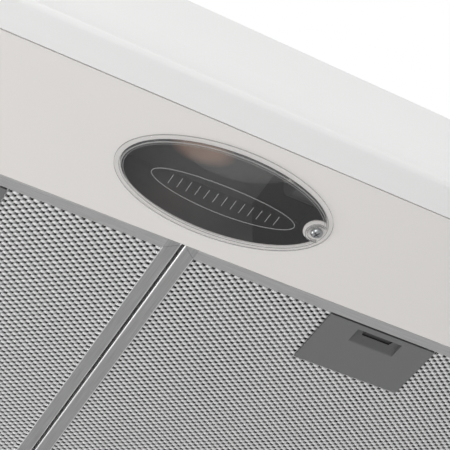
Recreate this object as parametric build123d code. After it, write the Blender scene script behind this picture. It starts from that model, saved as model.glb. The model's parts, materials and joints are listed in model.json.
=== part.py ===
from build123d import *
import os
from math import acos, atan2, cos, degrees, radians, sin, sqrt

# Under cabinet range hood, in millimetres.
# +Z up, front at -Y, +X to the right seen from the front. The origin is the centre
# of the four cabinet screw holes, on the flat top of the casing.

# Overall sizes
HOOD_WIDTH = 600.0
HOOD_DEPTH = 480.0
HOOD_HEIGHT = 130.0
FASCIA_HEIGHT = 74.0
SHEET = 0.8
PLASTIC = 2.5
GAP = 0.4

# Cabinet fixing
SIDE_TO_SCREWS = 30.0
FRONT_TO_FIRST_SCREWS = 150.0
BACK_TO_LAST_SCREWS = 80.0
CABINET_HOLE_R = 2.75

# Underside, front to back
LIP_TO_FILTER = 109.0
SEAM_TO_FILTER = 88.0
ROOF_SLOPE_END = 12.0
PAN_FLANGE = 10.0
EAR_WIDTH = 18.0
EAR_TOP = 68.0
SIDE_FLANGE = 20.4
REAR_RAIL_DEPTH = 50.0

# Fascia moulding
LIP_RADIUS = 3.0
COVE_TOP = 30.0
COVE_DEPTH = 6.0
FASCIA_TOP_RADIUS = 4.0
FASCIA_BOSS_R = 4.0

# Grease filters
FILTER_THICK = 9.0
FILTER_GAP = 1.0
FILTER_FRONT_GAP = 0.3
FRAME_EDGE_RADIUS = 0.9
FILTER_REAR_GAP = 1.0
STRIP_SIDE = 8.8
STRIP_FRONT = 7.3
MESH_RECESS = 1.2
MESH_FACE = 0.5
CORE_SHEET = 0.6
CORE_RIM = 6.0
MESH_PLAY = 0.2
MITRE_GAP = 0.3
TAB_X = 95.0
TAB_WIDTH = 14.0
TAB_THICK = 1.0
TAB_REACH = 9.0
TAB_GRIP = 6.5
TAB_LIFT = 0.4

# Filter latch
LATCH_PLATE_WIDTH = 73.8
LATCH_PLATE_START = 8.8
LATCH_PLATE_DEPTH = 43.2
LATCH_PLATE_TALL = 5.0
LATCH_FACE = 3.0
SCOOP_WIDTH = 31.4
SCOOP_START = 12.6
SCOOP_FLAT_END = 17.9
SCOOP_END = 24.7
SCOOP_DEPTH = 2.2
FINGER_SLOT_START = 12.9
FINGER_SLOT_WIDTH = 22.4
FINGER_SLOT_TAPER = 1.6
SLIDER_WIDTH = 24.0
TONGUE_WIDTH = 20.0
TONGUE_PLAY = 0.6
SLIDER_THICK = 1.6
SLIDER_LIFT = 0.2
SLIDER_LENGTH = 15.5
LATCH_PLAY = 0.3
LATCH_LAND = 1.4
LUG_SPACE = 0.4
LATCH_LUG = 1.7
LATCH_SPRING_R = 0.75
LATCH_SPRING_WIRE = 0.3
LATCH_SPRING_LENGTH = 16.0

# Lamp
LAMP_X = 2.4
LAMP_TO_FILTER = 45.0
LENS_A = 65.3
LENS_B = 32.6
LENS_FLANGE = 1.2
LENS_RIM = 5.0
LENS_TO_HOLE = 3.4
LENS_SHORT_RIM = 0.9
BOSS_WALL = 1.2
LENS_WALL = 1.6
LENS_DOME = 4.0
LENS_FIT = 0.4
LENS_SEAT = 1.1
LENS_WALL_TALL = 5.0
LENS_SCREW_LENGTH = 9.0
LENS_EDGE_TO_SCREW = 7.9
NOTCH_R = 6.5
LENS_SCREW_R = 1.7
LENS_SCREW_HEAD_R = 3.5
LAMP_BOX_HEIGHT = 41.0
LAMP_BOX_SPARE = 6.4
LAMP_BOX_FRONT = 34.0
LAMP_BOX_REAR = 33.0
LAMP_BOX_FOOT = 7.0
REFLECTOR_PLAY = 0.5
REFLECTOR_SHEET = 0.5
BULB_Y = 15.0
BULB_HEIGHT = 21.5
BULB_R = 17.0
BULB_LENGTH = 62.0
BULB_NECK_R = 6.8
CAP_LENGTH = 20.0
CAP_PROUD = 4.0
CAP_TIP = 3.0
THREAD_PITCH = 3.0
THREAD_WIDTH = 1.4
THREAD_HEIGHT = 0.4
SOCKET_R = 13.0
SOCKET_LENGTH = 32.0
SOCKET_FOOT = 5.0
SOCKET_FOOT_RIM = 2.0

# Blower
BLOWER_TO_COLLAR = 153.0
SCROLL_START_R = 92.0
SCROLL_END_R = 140.0
TONGUE_ANGLE = 80.0
SCROLL_WALL = 2.0
SCROLL_FLANGE = 6.0
JOINT_RIM = 1.5
CLAMP_OUT = 3.2
PILLAR_OUT = 5.5
PILLAR_R = 6.0
PILLAR_TALL = 10.0
SCROLL_BOTTOM = 34.0
SCROLL_SPLIT = 72.0
SCROLL_TOP = 110.0
INLET_R = 62.0
INLET_LIP = 2.0
GRILLE_SCREW_OUT = 5.0
GRILLE_RIM = 9.0
GRILLE_SHEET = 2.0
GRILLE_RINGS = (14.0, 26.0, 38.0, 50.0)
GRILLE_WIRE = 1.0
GRILLE_SPOKE = 2.4
IMPELLER_R = 82.0
BLADE_INNER_R = 68.0
BLADE_COUNT = 36
BLADE_THICK = 1.4
BLADE_ANGLE = 25.0
NUT_R = 6.0
NUT_TALL = 5.0
IMPELLER_BOTTOM = 42.0
IMPELLER_TOP = 96.0
CUP_TO_MOTOR = 8.0
CUP_FLOOR = 52.0
SHAFT_R = 3.0
BUSH_CLEARANCE = 0.04
BUSH_R = 6.0
BUSH_LENGTH = 6.0
STATOR_R = 38.0
ROTOR_R = 20.5
AIR_GAP = 0.5
CORE_BOTTOM = 68.0
CORE_TOP = 88.0
MOTOR_BOTTOM = 57.0
MOTOR_TOP = 105.0
MOTOR_WALL = 2.0
MOUNT_TO_STATOR = 15.0
MOUNT_PAD_R = 8.5
MOUNT_EAR_R = 6.5
MOUNT_BRIDGE_R = 7.0
MOUNT_EAR = 2.5
MOUNT_GRIP = 2.3
MOUNT_HEAD_R = 4.5
MOTOR_HOLE_PLAY = 9.0
GROMMET_R = 7.0
GROMMET_NECK_R = 5.0
GROMMET_HEAD = 3.0
SLOT_COUNT = 8
SLOT_OUT = 6.5
SLOT_R = 4.0
SLOT_FILL = 0.2
WINDING_TALL = 6.0
END_RING = 3.0
HUB_WALL = 2.5
CUP_WALL = 2.0

# Duct collar and backdraft flaps
COLLAR_TO_BACK = 90.0
COLLAR_HOLE_PLAY = 1.2
COLLAR_TO_CHAMBER = 2.5
COLLAR_R = 59.5
COLLAR_WALL = 2.0
COLLAR_HEIGHT = 36.0
COLLAR_SKIRT = 17.0
COLLAR_FLANGE_REACH = 14.5
COLLAR_FLANGE = 3.2
COLLAR_SCREW_OUT = 8.0
KNUCKLE_FAR = 42.0
KNUCKLE_NEAR = 18.0
FLAP_PIN_Z = 12.0
FLAP_PIN_R = 1.5
FLAP_CLEARANCE = 0.05
FLAP_THICK = 1.5
FLAP_EDGE_GAP = 0.9
KNUCKLE_R = 3.0
KNUCKLE_LENGTH = 15.0

# Controls
PANEL_TO_SIDE = 94.0
PANEL_WIDTH = 112.0
PANEL_TALL = 24.0
PANEL_HEIGHT = 51.0
PANEL_MARGIN = 3.0
PANEL_CORNER = 4.0
PANEL_FIT = 0.2
BEZEL_PROUD = 0.6
BEZEL_DEPTH = 7.5
STEM_REACH = 15.0
SPRING_REACH = 23.0
BUTTON_PITCH = 26.0
BUTTON_WIDTH = 19.4
BUTTON_TALL = 13.4
BUTTON_FIT = 0.3
BUTTON_EDGE = 0.8
BUTTON_SPRING_R = 2.0
BUTTON_SPRING_WIRE = 0.5
SPRING_SEAT = 0.4
BLADE_HALF = 0.4
BLADE_APART = 5.0
BUTTON_PROUD = 2.5
BUTTON_TRAVEL = 2.0
STEM = 6.0
SWITCH_DEPTH = 31.0
SWITCH_TALL = 18.0
BUTTON_NAMES = ("light", "low", "medium", "high")

# Electrics
TERMINAL_TO_BACK = 66.0
TERMINAL_SIZE = (60.0, 70.0, 45.0)
BLOCK_START = 13.0
BLOCK_SIZE = 18.0
BLOCK_HALF = 20.0
BLOCK_PITCH = 13.0
BLOCK_BORE_R = 2.0
GLAND_R = 9.0
GLAND_BORE_R = 4.2
GLAND_HEIGHT = 14.0
GLAND_HEX_R = 12.0
GLAND_HEX = 5.0
CAPACITOR_X = 140.0
CAPACITOR_R = 14.0
CAPACITOR_LENGTH = 62.0
CAPACITOR_TO_BLOWER = 60.0
CAPACITOR_TAG = 5.0
STRAP_START = 22.0
STRAP_WIDTH = 14.0
STRAP_EAR = 12.0
STRAP_SHEET = 1.0
LEAD_R = 2.5
LEAD_HEIGHT = 100.0

SCREW_R = 1.9
SCREW_HEAD_R = 3.6
SCREW_HEAD = 2.0
SHORT_SCREW_R = 1.5
SHORT_SCREW_HEAD_R = 3.0
SHORT_SCREW_LENGTH = 4.0

# Planes worked out from the sizes above
UNDER = -HOOD_HEIGHT
HALF = HOOD_WIDTH / 2
CABINET_SCREW_DX = HOOD_WIDTH - 2 * SIDE_TO_SCREWS
CABINET_SCREW_DY = HOOD_DEPTH - FRONT_TO_FIRST_SCREWS - BACK_TO_LAST_SCREWS
FRONT = -FRONT_TO_FIRST_SCREWS - CABINET_SCREW_DY / 2
BACK = FRONT + HOOD_DEPTH
FILTER_WIDTH = HALF - SIDE_FLANGE - 2 * FILTER_GAP
FILTER_DEPTH = HOOD_DEPTH - LIP_TO_FILTER - REAR_RAIL_DEPTH - FILTER_REAR_GAP
FILTER_Y = FRONT + LIP_TO_FILTER
SEAM = FILTER_Y - SEAM_TO_FILTER
FILTER_X = FILTER_GAP + FILTER_WIDTH / 2
FACE = FRONT + COVE_DEPTH
FILTER_BACK = FILTER_Y + FILTER_DEPTH
RAIL_FRONT = FILTER_BACK + FILTER_REAR_GAP
LAMP_Y = FILTER_Y - LAMP_TO_FILTER
LENS_SCREW_X = LAMP_X + LENS_A - LENS_EDGE_TO_SCREW
COLLAR_Y = BACK - COLLAR_TO_BACK
CHAMBER_HALF = COLLAR_R + COLLAR_TO_CHAMBER
BLOWER_X = CHAMBER_HALF - SCROLL_END_R
BLOWER_Y = COLLAR_Y - BLOWER_TO_COLLAR
CUP_R = STATOR_R + MOTOR_WALL + CUP_TO_MOTOR
MOTOR_MOUNT_R = STATOR_R + MOUNT_TO_STATOR
PANEL_X = HALF - PANEL_TO_SIDE
TERMINAL_X = PANEL_X + BUTTON_PITCH
TERMINAL_Y = BACK - TERMINAL_TO_BACK
ROOF = -SHEET


def up(height):
    """Height above the underside, as a z value."""
    return UNDER + height


def block(x, y, z):
    """Box between pairs of x, y and z."""
    size = (x[1] - x[0], y[1] - y[0], z[1] - z[0])
    centre = ((x[0] + x[1]) / 2, (y[0] + y[1]) / 2, (z[0] + z[1]) / 2)
    return Pos(*centre) * Box(*size)


def rod(x, y, z, r):
    """Upright cylinder between a pair of z."""
    return Pos(x, y, (z[0] + z[1]) / 2) * Cylinder(r, z[1] - z[0])


def rod_x(x, y, z, r):
    return Pos((x[0] + x[1]) / 2, y, z) * Rot(0, 90, 0) * Cylinder(r, x[1] - x[0])


def rod_y(x, y, z, r):
    return Pos(x, (y[0] + y[1]) / 2, z) * Rot(90, 0, 0) * Cylinder(r, y[1] - y[0])


def tube(x, y, z, outer, inner):
    return rod(x, y, z, outer) - rod(x, y, z, inner)


def oval(a, b, z, x=LAMP_X, y=LAMP_Y):
    """Upright elliptic cylinder between a pair of z."""
    return Pos(x, y, z[0]) * extrude(Ellipse(a, b), z[1] - z[0])


def side_profile(points, x):
    """Closed polygon of (y, z) points, extruded between a pair of x."""
    face = Plane.YZ * Polygon(*points, align=None)
    return Pos(x[0], 0, 0) * extrude(face, x[1] - x[0], dir=(1, 0, 0))


def screw_up(x, y, z_head, length, r=SCREW_R, head_r=SCREW_HEAD_R):
    """Pan head screw whose shank points up from the head's upper face."""
    head = rod(x, y, (z_head - SCREW_HEAD, z_head), head_r)
    cross = block((x - 0.4, x + 0.4), (y - 2.0, y + 2.0), (z_head - SCREW_HEAD, z_head - 1.0))
    cross += block((x - 2.0, x + 2.0), (y - 0.4, y + 0.4), (z_head - SCREW_HEAD, z_head - 1.0))
    return head + rod(x, y, (z_head - 0.5, z_head + length), r) - cross


def screw_down(x, y, z_head, length, r=SCREW_R, head_r=SCREW_HEAD_R):
    """Pan head screw whose shank points down from the head's lower face."""
    return Pos(x, y, z_head) * Rot(180, 0, 0) * screw_up(0, 0, 0, length, r, head_r)


def coil(r, wire, length, turns):
    """Compression spring along +Z from z = 0."""
    path = Helix(pitch=length / turns, height=length, radius=r)
    section = Plane(origin=path @ 0, z_dir=path % 0) * Circle(wire / 2)
    return sweep(section, path=path)


def lead(points, radius):
    """Round insulated lead along straight runs with one bend radius."""
    path = FilletPolyline(*points, radius=radius)
    section = Plane(origin=path @ 0, z_dir=path % 0) * Circle(LEAD_R)
    return sweep(section, path=path)


def around(count, start=90.0):
    """Evenly spaced directions as (cos, sin) pairs."""
    turns = [radians(start + 360.0 * i / count) for i in range(count)]
    return [(cos(t), sin(t)) for t in turns]


# ---------------------------------------------------------------- casing

CASING_FRONT = SEAM + GAP
CASING_FRONT_TOP = up(FASCIA_HEIGHT - 1.0)
SLOPE_END = FILTER_Y + ROOF_SLOPE_END
SLOPE = (0.0 - CASING_FRONT_TOP) / (SLOPE_END - CASING_FRONT)
SIDE_FLANGE_X = HALF - SIDE_FLANGE
FASCIA_SCREW_Z = (up(18.0), up(56.0))
FASCIA_SCREW_X = HALF - 9.0


def roof_inside(y):
    """Height of the sloped roof's inner face."""
    return CASING_FRONT_TOP + SLOPE * (y - CASING_FRONT) - SHEET * sqrt(1 + SLOPE**2)


def casing():
    """Roof, front slope, back and two cheeks, welded along their edges."""
    inner_back = BACK - SHEET
    bend = CASING_FRONT + (ROOF - roof_inside(CASING_FRONT)) / SLOPE
    slope = [(CASING_FRONT, roof_inside(CASING_FRONT)), (CASING_FRONT, CASING_FRONT_TOP)]
    slope += [(SLOPE_END, 0.0), (SLOPE_END, ROOF), (bend, ROOF)]
    across = (SHEET - HALF, HALF - SHEET)
    panels = [roof_panel(across), side_profile(slope, across)]
    panels.append(block(across, (inner_back, BACK), (UNDER, ROOF)))
    return panels + [cheek(-1), cheek(1)]


def roof_panel(across):
    roof = block(across, (SLOPE_END, BACK), (ROOF, 0.0))
    through = (ROOF - 1.0, 1.0)
    roof -= rod(0, COLLAR_Y, through, COLLAR_R + COLLAR_HOLE_PLAY)
    roof -= rod(TERMINAL_X, TERMINAL_Y, through, GLAND_HEX_R + 1.0)
    for x in (-CABINET_SCREW_DX / 2, CABINET_SCREW_DX / 2):
        for y in (-CABINET_SCREW_DY / 2, CABINET_SCREW_DY / 2):
            roof -= rod(x, y, through, CABINET_HOLE_R)
    for x, y in pillar_places():
        roof -= rod(x, y, through, SCREW_R)
    for x, y in collar_screw_places():
        roof -= rod(x, y, through, SHORT_SCREW_R)
    return roof


def cheek(side):
    """Side of the casing with its lower flange and the ear that the fascia screws to."""
    outline = [(CASING_FRONT, UNDER), (CASING_FRONT, CASING_FRONT_TOP), (SLOPE_END, 0.0)]
    outline += [(BACK, 0.0), (BACK, UNDER)]
    sheet = side_profile(outline, sorted((side * (HALF - SHEET), side * HALF)))
    flange = sorted((side * SIDE_FLANGE_X, side * (HALF - SHEET / 2)))
    sheet += block(flange, (FILTER_Y, BACK - SHEET), (UNDER, UNDER + SHEET))
    ear = sorted((side * (HALF - EAR_WIDTH), side * (HALF - SHEET / 2)))
    sheet += block(ear, (CASING_FRONT, CASING_FRONT + SHEET), (up(PAN_FLANGE + 1.0), up(EAR_TOP)))
    for z in FASCIA_SCREW_Z:
        x = side * FASCIA_SCREW_X
        sheet -= rod_y(x, (CASING_FRONT - 1.0, CASING_FRONT + 2.0), z, SCREW_R)
    return sheet


def rear_rail():
    x = (GAP - SIDE_FLANGE_X, SIDE_FLANGE_X - GAP)
    rail = block(x, (RAIL_FRONT, BACK - SHEET - 0.2), (UNDER, UNDER + SHEET))
    rail += block(x, (BACK - 2 * SHEET - 0.2, BACK - SHEET - 0.2), (UNDER, up(14.0)))
    return rail


def lamp_panel():
    x = HALF - SHEET - 0.2
    y = (CASING_FRONT, FILTER_Y - FILTER_FRONT_GAP)
    pan = block((-x, x), y, (UNDER, up(PAN_FLANGE)))
    hollow_y = (y[0] + SHEET, y[1] - SHEET)
    pan -= block((SHEET - x, x - SHEET), hollow_y, (UNDER + SHEET, up(PAN_FLANGE + 1.0)))
    hole = oval(LENS_A - LENS_TO_HOLE, LENS_B - LENS_TO_HOLE, (UNDER - 1.0, UNDER + 2.0))
    hole -= rod(LENS_SCREW_X, LAMP_Y, (UNDER - 1.0, UNDER + 2.0), NOTCH_R + LENS_SEAT)
    pan -= hole
    pan -= rod(LENS_SCREW_X, LAMP_Y, (UNDER - 1.0, UNDER + 2.0), LENS_SCREW_R)
    for side in (-1, 1):
        slot = (side * FILTER_X - TONGUE_WIDTH / 2 - 1.0, side * FILTER_X + TONGUE_WIDTH / 2 + 1.0)
        pan -= block(slot, (y[1] - 2.0, y[1] + 1.0), (up(1.6), up(LATCH_PLATE_TALL)))
    return pan


# ---------------------------------------------------------------- fascia

def fascia_face(inset, rear):
    """Side section of the fascia, drawn inside its outer face by inset."""
    lip = FRONT + inset
    face = FACE + inset
    low = UNDER + inset
    top = up(FASCIA_HEIGHT) - inset
    r = max(LIP_RADIUS - inset, 0.3)
    t = max(FASCIA_TOP_RADIUS - inset, 0.3)
    edge = low + r
    run = up(COVE_TOP) - edge
    cove_r = (run**2 + COVE_DEPTH**2) / (2 * COVE_DEPTH)
    mid_y = face - cove_r + sqrt(cove_r**2 - (run / 2) ** 2)
    mid_z = up(COVE_TOP) - run / 2
    line = Line((rear, low), (lip + r, low))
    line += RadiusArc((lip + r, low), (lip, edge), r, short_sagitta=True)
    line += ThreePointArc((lip, edge), (mid_y, mid_z), (face, up(COVE_TOP)))
    line += Line((face, up(COVE_TOP)), (face, top - t))
    line += RadiusArc((face, top - t), (face + t, top), t, short_sagitta=True)
    line += Line((face + t, top), (rear, top))
    line += Line((rear, top), (rear, low))
    return Plane.YZ * make_face(line)


def fascia():
    rear = SEAM - GAP
    across = (1, 0, 0)
    outer = extrude(fascia_face(0.0, rear), 2 * HALF, dir=across)
    inner = extrude(fascia_face(PLASTIC, rear + 5.0), 2 * (HALF - PLASTIC), dir=across)
    shell = Pos(-HALF, 0, 0) * outer - Pos(PLASTIC - HALF, 0, 0) * inner
    for side in (-1, 1):
        for z in FASCIA_SCREW_Z:
            x = side * FASCIA_SCREW_X
            boss_y = (FACE + 0.5, rear)
            shell += rod_y(x, boss_y, z, FASCIA_BOSS_R)
            shell -= rod_y(x, (rear - 8.0, rear + 1.0), z, SCREW_R - 0.1)
    half_x = PANEL_WIDTH / 2 - PANEL_MARGIN
    half_z = PANEL_TALL / 2 - PANEL_MARGIN
    window_x = (PANEL_X - half_x - PANEL_FIT, PANEL_X + half_x + PANEL_FIT)
    window_z = (up(PANEL_HEIGHT) - half_z - PANEL_FIT, up(PANEL_HEIGHT) + half_z + PANEL_FIT)
    return shell - block(window_x, (FACE - 1.0, FACE + PLASTIC + 1.0), window_z)


def fascia_screws():
    screws = []
    for side in (-1, 1):
        for z in FASCIA_SCREW_Z:
            place = Pos(side * FASCIA_SCREW_X, CASING_FRONT + SHEET, z) * Rot(90, 0, 0)
            screws.append(place * screw_up(0, 0, 0, 8.0, SCREW_R - 0.1))
    return screws


# ---------------------------------------------------------------- controls

BEZEL_FRONT = FACE - BEZEL_PROUD
BEZEL_REAR = FACE + BEZEL_DEPTH
STEM_END = FACE + STEM_REACH
SPRING_END = FACE + SPRING_REACH
BUTTON_REAR = BEZEL_REAR - BUTTON_TRAVEL - 0.5


def button_x(i):
    return PANEL_X + BUTTON_PITCH * (i - (len(BUTTON_NAMES) - 1) / 2)


def button_window(x, y, extra):
    half_x = BUTTON_WIDTH / 2 + extra
    half_z = BUTTON_TALL / 2 + extra
    z = up(PANEL_HEIGHT)
    return block((x - half_x, x + half_x), y, (z - half_z, z + half_z))


def control_bezel():
    z = up(PANEL_HEIGHT)
    half_x = PANEL_WIDTH / 2
    half_z = PANEL_TALL / 2
    plate_y = (BEZEL_FRONT, FACE)
    bezel = block((PANEL_X - half_x, PANEL_X + half_x), plate_y, (z - half_z, z + half_z))
    edges = bezel.edges().filter_by(Axis.Y)
    bezel = fillet(edges, PANEL_CORNER)
    half_x -= PANEL_MARGIN
    half_z -= PANEL_MARGIN
    bezel += block((PANEL_X - half_x, PANEL_X + half_x), (FACE, BEZEL_REAR), (z - half_z, z + half_z))
    for i in range(len(BUTTON_NAMES)):
        bezel -= button_window(button_x(i), (BEZEL_FRONT - 1.0, BEZEL_REAR + 1.0), BUTTON_FIT)
    return bezel


def button(i):
    x = button_x(i)
    z = up(PANEL_HEIGHT)
    cap = button_window(x, (BEZEL_FRONT - BUTTON_PROUD, BUTTON_REAR), 0.0)
    cap = fillet(cap.edges().group_by(Axis.Y)[0], BUTTON_EDGE)
    half = STEM / 2
    return cap + block((x - half, x + half), (BUTTON_REAR - 0.5, STEM_END), (z - half, z + half))


def button_spring(i):
    spring = coil(BUTTON_SPRING_R, BUTTON_SPRING_WIRE, SPRING_END - STEM_END - 2 * SPRING_SEAT, 5)
    return Pos(button_x(i), STEM_END + SPRING_SEAT, up(PANEL_HEIGHT)) * Rot(-90, 0, 0) * spring


def switch_block():
    z = up(PANEL_HEIGHT)
    half_x = PANEL_WIDTH / 2 - PANEL_MARGIN
    half_z = SWITCH_TALL / 2
    y = (BEZEL_REAR, BEZEL_REAR + SWITCH_DEPTH)
    body = block((PANEL_X - half_x, PANEL_X + half_x), y, (z - half_z, z + half_z))
    half = STEM / 2 + BUTTON_FIT
    for i in range(len(BUTTON_NAMES)):
        x = button_x(i)
        body -= block((x - half, x + half), (y[0] - 1.0, SPRING_END), (z - half, z + half))
        for dx in (-BLADE_APART, BLADE_APART):
            blade = (x + dx - BLADE_HALF, x + dx + BLADE_HALF)
            body += block(blade, (y[1] - 1.0, y[1] + 7.0), (z - 3.0, z + 3.0))
    return body


# ---------------------------------------------------------------- filters

MITRE = degrees(atan2(STRIP_SIDE, STRIP_FRONT))


def filter_frame(side):
    x0 = side * FILTER_X
    half = FILTER_WIDTH / 2

    def inset(dx, dy, z):
        x = (x0 - half + dx, x0 + half - dx)
        return block(x, (FILTER_Y + dy, FILTER_BACK - dy), (up(z[0]), up(z[1])))

    t = SHEET
    outer = inset(0, 0, (0, FILTER_THICK))
    outer = fillet(outer.edges().group_by(Axis.Z)[0], FRAME_EDGE_RADIUS)
    frame = outer - inset(t, t, (t, FILTER_THICK - t))
    frame -= inset(STRIP_SIDE, STRIP_FRONT, (-1, t))
    frame -= inset(STRIP_SIDE, STRIP_FRONT, (FILTER_THICK - t, FILTER_THICK + 1))
    wall = inset(STRIP_SIDE - t, STRIP_FRONT - t, (t / 2, MESH_RECESS))
    frame += wall - inset(STRIP_SIDE, STRIP_FRONT, (0, MESH_RECESS + 1))
    tongue = TONGUE_WIDTH / 2 + TONGUE_PLAY
    slot_z = (up(LATCH_FACE - MESH_PLAY), up(LATCH_PLATE_TALL - 0.1))
    frame -= block((x0 - tongue, x0 + tongue), (FILTER_Y - 1, FILTER_Y + STRIP_FRONT + 1), slot_z)
    tab = TAB_WIDTH / 2 + 0.2
    for dx in (-TAB_X, TAB_X):
        slot_z = (up(SHEET + 0.3), up(SHEET + 0.5 + TAB_THICK))
        frame -= block((x0 + dx - tab, x0 + dx + tab), (FILTER_BACK - 2 * t, FILTER_BACK + 1), slot_z)
    for sx in (-1, 1):
        for sy, y in ((1, FILTER_Y), (-1, FILTER_BACK)):
            groove = Box(MITRE_GAP, 3.6 * STRIP_SIDE, 0.5)
            place = Pos(x0 + sx * half, y, UNDER) * Rot(0, 0, MITRE * sx * sy)
            frame -= place * groove
    return frame


def filter_layer(side, low, high):
    x0 = side * FILTER_X
    half = FILTER_WIDTH / 2 - SHEET - MESH_PLAY
    y = (FILTER_Y + SHEET + MESH_PLAY, FILTER_BACK - SHEET - MESH_PLAY)
    layer = block((x0 - half, x0 + half), y, (up(low), up(high)))
    plate = LATCH_PLATE_WIDTH / 2 + MESH_PLAY
    plate_y = FILTER_Y + LATCH_PLATE_START
    plate_span = (plate_y - MESH_PLAY, plate_y + LATCH_PLATE_DEPTH + MESH_PLAY)
    layer -= block((x0 - plate, x0 + plate), plate_span, (UNDER, up(LATCH_PLATE_TALL + MESH_PLAY)))
    tongue = TONGUE_WIDTH / 2 + TONGUE_PLAY
    tongue_z = (up(LATCH_FACE - MESH_PLAY), up(LATCH_PLATE_TALL))
    layer -= block((x0 - tongue, x0 + tongue), (FILTER_Y, plate_y), tongue_z)
    tab = TAB_WIDTH / 2 + MESH_PLAY
    tab_z = (UNDER, up(SHEET + TAB_LIFT + TAB_THICK + MESH_PLAY))
    for dx in (-TAB_X, TAB_X):
        layer -= block((x0 + dx - tab, x0 + dx + tab), (FILTER_BACK - TAB_GRIP - 0.2, FILTER_BACK), tab_z)
    return layer


def filter_core(side):
    """Crimped core layer: a thin sheet with a full height rim held in the frame."""
    low = MESH_RECESS + MESH_FACE
    core = filter_layer(side, low, FILTER_THICK - SHEET)
    x0 = side * FILTER_X
    half = FILTER_WIDTH / 2 - SHEET - MESH_PLAY - CORE_RIM
    rim_y = SHEET + MESH_PLAY + CORE_RIM
    hollow_z = (up(low + CORE_SHEET), up(FILTER_THICK))
    return core - block((x0 - half, x0 + half), (FILTER_Y + rim_y, FILTER_BACK - rim_y), hollow_z)


def filter_tabs(side):
    tabs = []
    for dx in (-TAB_X, TAB_X):
        x = side * FILTER_X + dx
        width = (x - TAB_WIDTH / 2, x + TAB_WIDTH / 2)
        z = (up(SHEET + TAB_LIFT), up(SHEET + TAB_LIFT + TAB_THICK))
        tabs.append(block(width, (FILTER_BACK - TAB_GRIP, FILTER_BACK + TAB_REACH), z))
    return tabs


# ---------------------------------------------------------------- filter latch

SLIDER_FRONT = FILTER_Y - FILTER_FRONT_GAP
SHOULDER = FILTER_Y + LATCH_PLATE_START + LATCH_LAND
SLIDER_REAR = SHOULDER + LATCH_PLAY + SLIDER_LENGTH
LUG_FRONT = FILTER_Y + FINGER_SLOT_START + LUG_SPACE


def latch_plate(side):
    x0 = side * FILTER_X
    half = LATCH_PLATE_WIDTH / 2
    y0 = FILTER_Y + LATCH_PLATE_START
    plate = block((x0 - half, x0 + half), (y0, y0 + LATCH_PLATE_DEPTH), (UNDER, up(LATCH_PLATE_TALL)))
    cavity = SLIDER_WIDTH / 2 + LATCH_PLAY
    cavity_y = (SHOULDER, SLIDER_REAR + LATCH_SPRING_LENGTH)
    plate -= block((x0 - cavity, x0 + cavity), cavity_y, (up(LATCH_FACE), up(LATCH_PLATE_TALL + 1)))
    mouth = TONGUE_WIDTH / 2 + LATCH_PLAY
    open_z = (up(LATCH_FACE), up(LATCH_PLATE_TALL + 1))
    plate -= block((x0 - mouth, x0 + mouth), (y0 - 1, SHOULDER + 1), open_z)
    scoop = [(FILTER_Y + SCOOP_START, UNDER - 1), (FILTER_Y + SCOOP_START, up(SCOOP_DEPTH))]
    scoop += [(FILTER_Y + SCOOP_FLAT_END, up(SCOOP_DEPTH)), (FILTER_Y + SCOOP_END, UNDER)]
    scoop += [(FILTER_Y + SCOOP_END, UNDER - 1)]
    plate -= side_profile(scoop, (x0 - SCOOP_WIDTH / 2, x0 + SCOOP_WIDTH / 2))
    wide = FINGER_SLOT_WIDTH / 2
    narrow = wide - FINGER_SLOT_TAPER
    corners = [(x0 - wide, FILTER_Y + FINGER_SLOT_START), (x0 + wide, FILTER_Y + FINGER_SLOT_START)]
    corners += [(x0 + narrow, FILTER_Y + SCOOP_FLAT_END), (x0 - narrow, FILTER_Y + SCOOP_FLAT_END)]
    slot = extrude(Polygon(*corners, align=None), LATCH_FACE + 2, dir=(0, 0, 1))
    return plate - Pos(0, 0, UNDER - 1) * slot


def latch_slider(side):
    x0 = side * FILTER_X
    z = (up(LATCH_FACE + SLIDER_LIFT), up(LATCH_FACE + SLIDER_LIFT + SLIDER_THICK))
    half = SLIDER_WIDTH / 2
    tongue = TONGUE_WIDTH / 2
    slider = block((x0 - half, x0 + half), (SHOULDER + LATCH_PLAY, SLIDER_REAR), z)
    slider += block((x0 - tongue, x0 + tongue), (SLIDER_FRONT, SLIDER_REAR), z)
    lug = FINGER_SLOT_WIDTH / 2 - FINGER_SLOT_TAPER - 0.8
    slider += block((x0 - lug, x0 + lug), (LUG_FRONT, LUG_FRONT + LATCH_LUG), (up(SCOOP_DEPTH - 0.5), z[1]))
    return slider


def latch_spring(side):
    length = LATCH_SPRING_LENGTH - 2 * SPRING_SEAT
    spring = coil(LATCH_SPRING_R, LATCH_SPRING_WIRE, length, 12)
    z = up(LATCH_FACE + SLIDER_LIFT + SLIDER_THICK / 2)
    return Pos(side * FILTER_X, SLIDER_REAR + SPRING_SEAT, z) * Rot(-90, 0, 0) * spring


# ---------------------------------------------------------------- lamp

def lens_ellipsoid(a, b, c):
    dome = scale(Sphere(1.0), by=(a, b, c))
    dome = Pos(LAMP_X, LAMP_Y, UNDER - LENS_FLANGE) * dome
    across = (LAMP_X - LENS_A, LAMP_X + LENS_A)
    keep = block(across, (LAMP_Y - LENS_B, LAMP_Y + LENS_B), (UNDER - 20, UNDER - LENS_FLANGE))
    return dome & keep


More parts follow.
